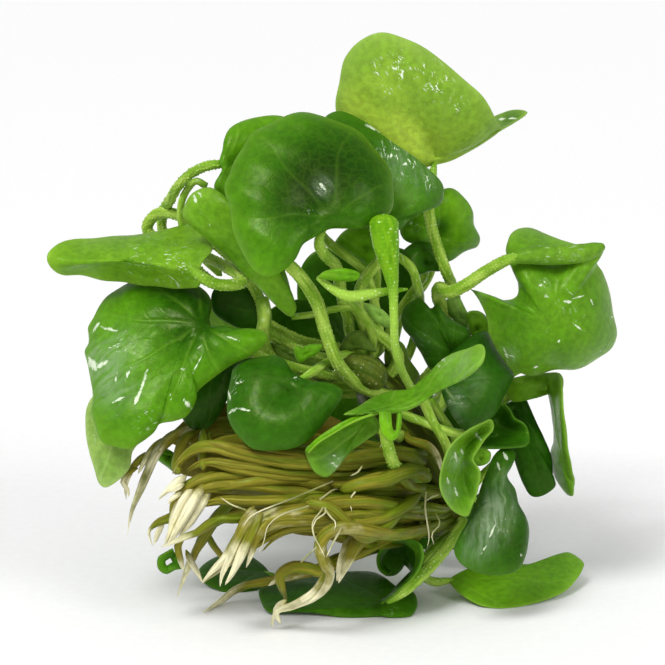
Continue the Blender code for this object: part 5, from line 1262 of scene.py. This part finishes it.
def blade_group():
    """A leaf's skin: paler below, mottled, with lighter veins, painted grey sheen and painted highlights.

    The highlight streaks and the sheen are noise drawn out along the middle vein. Drawn spots brighten or
    darken it, partly as its own colour and partly as painted light and shade.
    """
    colours = {"Upper": (60, 120, 20), "Under": (110, 160, 50), "Vein": (120, 170, 60)}
    tree, given = new_group("leaf skin", {**colours, "Net": 0.3, "Grain": 0.2})
    place = object_place(tree)
    under = mark(tree, "under")
    colour = mixed(tree, under, given["Upper"], given["Under"])
    cloud = stepped(tree, noise(tree, place, CLOUDS, 3.0), 0.3, 0.7, -0.16, 0.16)
    # Spots drawn on the leaf brighten or darken it: partly its own colour, partly painted shade in cups,
    # recesses and under other leaves and painted light on lit parts.
    colour = toned(tree, colour, plus(tree, mark(tree, "tone_and_shade"), cloud))
    mottle = noise(tree, place, MOTTLES, 4.0)
    colour = scaled(tree, colour, stepped(tree, mottle, 0.3, 0.7, 0.84, 1.13))
    net = stepped(tree, cells(tree, place, NET, "DISTANCE_TO_EDGE"), 0.0, 0.13, 1.0, 0.0)
    veins = maths(tree, "MAXIMUM", mark(tree, "vein"), times(tree, net, given["Net"]))
    colour = mixed(tree, times(tree, veins, 0.3), colour, given["Vein"])
    colour = mixed(tree, times(tree, mark(tree, "rim"), 0.45), colour, given["Vein"])
    drawn, painted_glint = painted_glints(tree, place)
    slow = noise(tree, stretched(tree, drawn, (*LEAF_HAZE, 1.0)), 1.0, 3.0)
    haze = stepped(tree, slow, 0.36, 0.66, 0.25, 1.0)
    # Painted reflection: a grey sheen mixed into the colour where the sheen spots lie.
    colour = mixed(tree, times(tree, mark(tree, "sheen"), haze), colour, linear(*SHEEN_GREY))
    # Painted highlights: white streaks, specks and strokes mixed into the colour, as of light on water.
    colour = mixed(tree, painted_glint, colour, linear(*GLINT_WHITE))
    dots = stepped(tree, cells(tree, place, SKIN_GRAINS), 0.1, 0.5, 1.0, 0.0)
    uneven = stepped(tree, noise(tree, place, SHINE_GRAINS), 0.3, 0.7, 0.32, 0.48)
    roughness = plus(tree, uneven, times(tree, under, 0.1))
    height = maths(tree, "SUBTRACT", times(tree, dots, given["Grain"]), times(tree, veins, 0.45))
    height = plus(tree, height, times(tree, mottle, 0.7))
    height = plus(tree, height, times(tree, painted_glint, 0.4))
    send(tree, colour, roughness, height)
    return tree


def stalk_group():
    """A stalk's skin: rows of little papillae painted lighter than the furrows, as painted light and shade,
    with specks of painted white highlight on some tops, and soft long streaks.

    It is leaf green where it starts. A young leaf's is paler at its foot.
    """
    inputs = {"Light": (172, 204, 84), "Dark": (122, 166, 42), "Speck": 0.5, "Foot": 0.0}
    tree, given = new_group("stalk skin", inputs)
    place = object_place(tree)
    along = mark(tree, "along")
    streak = grain_noise(tree, STALK_STREAKS, 3.0)
    colour = mixed(tree, stepped(tree, streak, 0.34, 0.64), given["Dark"], given["Light"])
    colour = mixed(tree, stepped(tree, along, 0.0, 0.14, 0.75, 0.0), colour, linear(*STALK_JOINT))
    foot = times(tree, stepped(tree, along, 0.6, 0.82, 1.0, 0.0), given["Foot"])
    colour = mixed(tree, foot, colour, linear(*YOUNG_FOOT))
    bump = mark(tree, "bump")
    # Painted light and shade: papilla tops lighter, furrows darker, then specks of painted white highlight on
    # some tops.
    colour = scaled(tree, colour, stepped(tree, bump, 0.0, 0.7, 0.92, 1.15))
    flicker = stepped(tree, noise(tree, place, STALK_FLICKER), 0.52, 0.6)
    top = times(tree, stepped(tree, bump, 0.35, 0.65), times(tree, flicker, given["Speck"]))
    colour = mixed(tree, top, colour, linear(*STALK_GLINT_WHITE))
    dots = stepped(tree, cells(tree, place, STALK_GRAINS), 0.1, 0.55, 1.0, 0.0)
    roughness = stepped(tree, noise(tree, place, STALK_SHINE), 0.3, 0.7, 0.32, 0.5)
    send(tree, colour, roughness, plus(tree, times(tree, dots, 0.5), streak))
    return tree


def root_group():
    """A root's skin: green-olive near the crown, olive-brown along it, cream at the tip, with long fibres."""
    inputs = {"Crown end": (92, 106, 20), "Middle": (128, 122, 38), "Tip": (232, 226, 186), "Paling": 0.82}
    tree, given = new_group("root skin", inputs)
    place = object_place(tree)
    cloud = noise(tree, place, ROOT_CLOUDS, 4.0)
    reach = plus(tree, mark(tree, "along"), stepped(tree, cloud, 0.2, 0.8, -0.2, 0.2))
    colour = mixed(tree, stepped(tree, reach, 0.1, 0.5), given["Crown end"], given["Middle"])
    green = stepped(tree, grain_noise(tree, ROOT_GREENS, 2.0), 0.5, 0.62)
    colour = mixed(tree, times(tree, green, 0.6), colour, linear(*ROOT_GREEN))
    start = maths(tree, "SUBTRACT", given["Paling"], 0.2)
    colour = mixed(tree, stepped(tree, reach, start, plus(tree, start, 0.3)), colour, given["Tip"])
    fibre = grain_noise(tree, ROOT_FIBRES, 4.0)
    colour = scaled(tree, colour, stepped(tree, fibre, 0.3, 0.7, 0.72, 1.2))
    roughness = stepped(tree, noise(tree, place, ROOT_SHINE), 0.3, 0.7, 0.28, 0.5)
    send(tree, colour, roughness, plus(tree, fibre, cloud))
    return tree


def wet_material(name, group, values, relief=0.25):
    """A Principled material whose colour, roughness and bump come from a skin group. Water lies over it."""
    material = bpy.data.materials.new(name)
    material.use_nodes = True
    tree = material.node_tree
    shader = tree.nodes["Principled BSDF"]
    skin = node(tree, "ShaderNodeGroup", node_tree=group)
    for label, value in values.items():
        skin.inputs[label].default_value = linear(*value) if isinstance(value, tuple) else value
    bump = {"Height": skin.outputs["Height"], "Strength": relief, "Distance": RELIEF_DEPTH}
    normal = node(tree, "ShaderNodeBump", bump).outputs["Normal"]
    tree.links.new(skin.outputs["Colour"], shader.inputs["Base Color"])
    tree.links.new(skin.outputs["Roughness"], shader.inputs["Roughness"])
    tree.links.new(normal, shader.inputs["Normal"])
    shader.inputs["Specular IOR Level"].default_value = REFLECTION
    shader.inputs["Specular Tint"].default_value = REFLECTION_TINT
    shader.inputs["Coat Weight"].default_value = WATER_COAT
    shader.inputs["Coat Roughness"].default_value = WATER_ROUGHNESS
    return material


def make_skins():
    """Every skin by name: one for each shade of leaf, then those of the stalks, roots and crown."""
    leaf = blade_group()
    skins = {}
    for shade, (upper, under, vein, net, grain) in SHADES.items():
        values = {"Upper": upper, "Under": under, "Vein": vein, "Net": net, "Grain": grain}
        skins[shade] = wet_material("leaf " + shade.replace("_", " "), leaf, values)
    stalk = stalk_group()
    skins["stalk"] = wet_material("stalk", stalk, {})
    young = {"Light": (116, 168, 22), "Dark": (92, 150, 14), "Speck": 0.8, "Foot": 1.0}
    skins["rolled"] = wet_material("young leaf", stalk, young)
    root = root_group()
    skins["root"] = wet_material("root", root, {}, relief=0.5)
    hair = {"Crown end": (176, 172, 120), "Middle": (206, 200, 158)}
    skins["hair"] = wet_material("hair root", root, hair, relief=0.3)
    crown = {"Crown end": (44, 52, 10), "Middle": (64, 72, 20), "Tip": (80, 86, 26)}
    skins["crown"] = wet_material("crown", root, crown, relief=0.8)
    stump = {"Light": (98, 112, 38), "Dark": (62, 88, 20), "Speck": 0.7}
    skins["stump"] = wet_material("old stump", stalk, stump)
    return skins


def crown_end(points):
    """The path with a last point ahead of it on the crown's middle, so that it ends inside the crown."""
    middle, _ = even_curve(seen(CROWN["path"]), CROWN_STEP)
    ahead = points[-1] + unit(points[-1] - points[-2]) * CROWN_REACH
    nearest = np.argmin(np.linalg.norm(middle - ahead, axis=1))
    return np.vstack([points, middle[nearest]])


def crown_start(points):
    """The path, begun inside the crown."""
    return crown_end(points[::-1])[::-1]


def started_back(points):
    """The path, begun a little before its first point so that it enters what carries it."""
    return np.vstack([points[0] - unit(points[1] - points[0]) * STALK_OVERLAP, points[1:]])


def make_leaf(name, leaf, skins):
    """A leaf's blade with its curled or folded lobes, and its own stem down to the crown."""
    shade = leaf["shade"]
    parts = [blade(leaf)] + [blade({**leaf, **LOBE_LOOK, **lobe}) for lobe in leaf.get("lobes", [])]
    put(name + "_blade", joined(parts), skins[shade], "leaf_" + shade, name)
    if "stem" in leaf:
        start = leaf.get("joint", (*leaf["stalk"], leaf["near"]))
        path = crown_end(seen([start, *leaf["stem"]]))
        skin = tube(path, [STEM_RADIUS], papillae=STEM_PAPILLA, seed=len(name), start=STALK_START)
        put(name + "_stem", skin, skins["stalk"], "stalk", name)


def make_rolled_leaf(name, leaf, skins):
    points = seen(leaf["path"])
    if leaf.get("from_crown", False):
        points = crown_start(points)
    skin = tube(points, leaf["radius"], FINE_SIDES, FINE_STEP, YOUNG_PAPILLA, YOUNG_RIDGE, YOUNG_SEED)
    put(name + "_roll", skin, skins["rolled"], "leaf_" + leaf["shade"], name)
    if "stem" in leaf:
        path = crown_end(seen([leaf["path"][2], *leaf["stem"]]))
        put(name + "_stem", tube(path, [1.0, STEM_RADIUS], start=STALK_START), skins["stalk"], "stalk", name)


def make_stalk(name, stalk, material):
    path = crown_end(started_back(seen(stalk["path"])))
    radius = [each * STALK_SHARE for each in stalk["radius"]]
    skin = tube(path, radius, FINE_SIDES, FINE_STEP, stalk["papilla"], seed=len(name), start=STALK_START)
    put(name + "_skin", skin, material, "stalk", name)


def make_band(name, band, material):
    slot = band.get("slot", "leaf_" + band["shade"])
    put(name, ribbon(band), material, slot, *band.get("nodes", []))


def make_roll(name, roll, material):
    """A margin rolled into a tube, with the marks of a blade seen from below."""
    skin = tube(seen(roll["path"]), roll["radius"], FINE_SIDES, FINE_STEP, SMALL_PAPILLA)
    points, faces, tube_marks = skin
    length = np.linalg.norm(points[-1] - points[-2]) / MM
    plain = np.zeros(len(points))
    marks = {
        "vein": plain, "rim": plain, "under": plain + 1,
        "forward": tube_marks["along"] * length, "aside": points[:, 2] / MM, **drawn_marks(points, roll)}
    put(name, (points, faces, marks), material, "leaf_" + roll["shade"], roll["node"])


def strands_of(root, count, share, seed):
    """A bundle: each strand keeps its place round the root's middle, turns slowly and wanders a little."""
    drift = np.random.default_rng(seed)
    points = seen(root["path"])
    if not root.get("fork", False):
        points = crown_start(points)
    middle, _ = even_curve(points, BUNDLE_STEP)
    along = np.linspace(0, 1, len(middle))
    radii = np.interp(along, np.linspace(0, 1, len(root["radius"])), root["radius"])
    _, side, other = frames_along(middle)
    skins = []
    for strand in range(count):
        turn = 2 * pi * (strand + drift.uniform(-0.2, 0.2)) / count
        turn = turn + drift.choice([-1, 1]) * STRAND_TURN * along
        turn = turn + STRAND_WANDER * np.sin(2 * pi * (along * drift.uniform(1, 2.5) + drift.uniform()))
        depth = INNER_DEPTH if strand % 4 == 3 else 1.0
        away = radii * (1 - share) * depth * (1 + 0.15 * np.sin(9 * along + drift.uniform(0, 6)))
        shift = (side * np.cos(turn)[:, None] + other * np.sin(turn)[:, None]) * away[:, None] * MM
        last = len(middle) - int(drift.integers(0, max(1, len(middle) // 6)) * (strand > 0))
        strand_radii = radii[:last] * share * drift.uniform(0.85, 1.12)
        strand_radii[-3:] *= [0.8, 0.55, 0.2]
        path = (middle + shift)[:last]
        number = seed * STRANDS_A_ROOT + strand
        skins.append(tube(path, strand_radii, STRAND_SIDES, STRAND_STEP, ridges=STRAND_RIDGE, seed=number))
    return joined(skins)


def put_roots(name, skin, paling, material, *nodes):
    """Puts strands in place, their colours run to the pale tip as far as the paling says."""
    points, faces, marks = skin
    marks["along"] = marks["along"] * paling
    put(name, (points, faces, marks), material, "root", *nodes)


def make_roots(material):
    for number, (name, root) in enumerate(ROOTS.items()):
        count, share, paling = STRANDS[name]
        put_roots(name + "_strands", strands_of(root, count, share, number + 1), paling, material, name)


def make_mat(material):
    skins = []
    for number, (path, radius, count, share) in enumerate(MAT):
        bundle = dict(path=path, radius=radius, fork=True)
        skins.append(strands_of(bundle, count, share, MAT_SEED + number))
    put_roots("root_mat", joined(skins), MAT_PALING, material)


def make_single_roots(material):
    skins = []
    for seed, (path, radius, begins, ends) in enumerate(TIPS, SINGLE_SEED):
        skin = tube(seen(path), radius, STRAND_SIDES, STRAND_STEP, 0, SINGLE_RIDGE, seed, TIP_START)
        points, faces, marks = skin
        marks["along"] = begins + (ends - begins) * marks["along"]
        skins.append((points, faces, marks))
    put("single_roots", joined(skins), material, "root")


def make_hair_roots(material):
    skins = []
    for seed, path in enumerate(HAIRS, HAIR_SEED):
        skins.append(tube(seen(path), HAIR_RADIUS, HAIR_SIDES, HAIR_STEP, 0, HAIR_RIDGE, seed))
    put("hair_roots", joined(skins), material, "root")


def make_crown(material):
    skin = tube(seen(CROWN["path"]), CROWN["radius"], FINE_SIDES, PLAIN_STEP, 0, CROWN_RIDGE, CROWN_SEED)
    put("crown_skin", skin, material, "crown", "crown")


def make_plant(skins):
    """Every piece of the plant, one kind after the other."""
    make_crown(skins["crown"])
    for seed, (name, leaf) in enumerate(LEAVES.items(), LEAF_SEED):
        make_leaf(name, dict(leaf, seed=seed), skins)
    for name, leaf in ROLLED_LEAVES.items():
        make_rolled_leaf(name, leaf, skins)
    for name, stalk in STALKS.items():
        make_stalk(name, stalk, skins["stalk"])
    for name, (path, radius) in THIN_STALKS.items():
        put(name, tube(seen(path), radius, papillae=SMALL_PAPILLA), skins["stalk"], "stalk")
    for name, scrap in SCRAPS.items():
        put(name, blade({**SCRAP_LOOK, **scrap}), skins[scrap["shade"]], "leaf_" + scrap["shade"])
    for name, band in BANDS.items():
        make_band(name, band, skins[band["shade"]])
    for name, roll in ROLLS.items():
        make_roll(name, roll, skins[roll["shade"]])
    for name, web in WEBS.items():
        put(name, blade({**WEB_LOOK, **web}), skins["web"], "root")
    for name, scrap in OLD_SCRAPS.items():
        put(name, blade({**SCRAP_LOOK, **scrap}), skins["old"], "crown")
    for name, (path, radius) in BULBS.items():
        skin = tube(seen(path), radius, FINE_SIDES, FINE_STEP, STUMP_PAPILLA, STUMP_RIDGE)
        put(name, skin, skins["stump"], "crown")
    make_roots(skins["root"])
    make_mat(skins["root"])
    make_single_roots(skins["root"])
    make_hair_roots(skins["hair"])


def make_floor():
    bpy.ops.mesh.primitive_circle_add(vertices=96, radius=6, fill_type="NGON")
    floor = bpy.context.object
    floor.name = "floor"
    material = bpy.data.materials.new("floor paper")
    material.use_nodes = True
    tree = material.node_tree
    shader = tree.nodes["Principled BSDF"]
    grain = noise(tree, object_place(tree), PAPER_GRAINS)
    paper = mixed(tree, stepped(tree, grain, 0.3, 0.7), (0.93, 0.93, 0.93, 1), (0.95, 0.95, 0.95, 1))
    tree.links.new(paper, shader.inputs["Base Color"])
    shader.inputs["Roughness"].default_value = 0.9
    shader.inputs["Specular IOR Level"].default_value = 0.1
    floor.data.materials.append(material)


def make_lamp(name, kind, offset, energy, **settings):
    """A soft light that stands this far from the plant's middle and looks at it."""
    light = bpy.data.lights.new(name, kind)
    light.energy = energy
    for key, value in settings.items():
        setattr(light, key, value)
    lamp = bpy.data.objects.new(name, light)
    bpy.context.scene.collection.objects.link(lamp)
    lamp.location = Vector(PLANT_MIDDLE) + Vector(offset)
    lamp.rotation_euler = (-Vector(offset)).to_track_quat("-Z", "Y").to_euler()


def make_studio():
    world = bpy.data.worlds.new("studio")
    world.use_nodes = True
    background = world.node_tree.nodes["Background"]
    background.inputs["Color"].default_value = (1, 1, 1, 1)
    background.inputs["Strength"].default_value = SKY_STRENGTH
    bpy.context.scene.world = world
    make_lamp("key light", "SUN", (-0.5, -0.75, 1.1), 1.85, angle=SUN_ANGLE)
    make_lamp("fill light", "SUN", (0.8, -0.9, 0.75), 0.84, angle=SUN_ANGLE)
    make_lamp("glint light", "AREA", (-0.35, -0.6, 0.68), 1.2, size=GLINT_SIZE)
    bpy.context.scene.view_settings.view_transform = "Standard"


def make_camera():
    lens = bpy.data.cameras.new("camera")
    lens.angle = 2 * atan(VIEW_WIDTH / 2 / VIEW_DISTANCE)
    lens.clip_start = 0.01
    camera = bpy.data.objects.new("camera", lens)
    bpy.context.scene.collection.objects.link(camera)
    camera.location = VIEW_CENTRE + TOWARDS * VIEW_DISTANCE
    camera.rotation_euler = (pi / 2 - VIEW_TILT, 0, 0)
    bpy.context.scene.camera = camera


def main():
    make_plant(make_skins())
    make_floor()
    make_studio()
    make_camera()
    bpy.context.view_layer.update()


main()
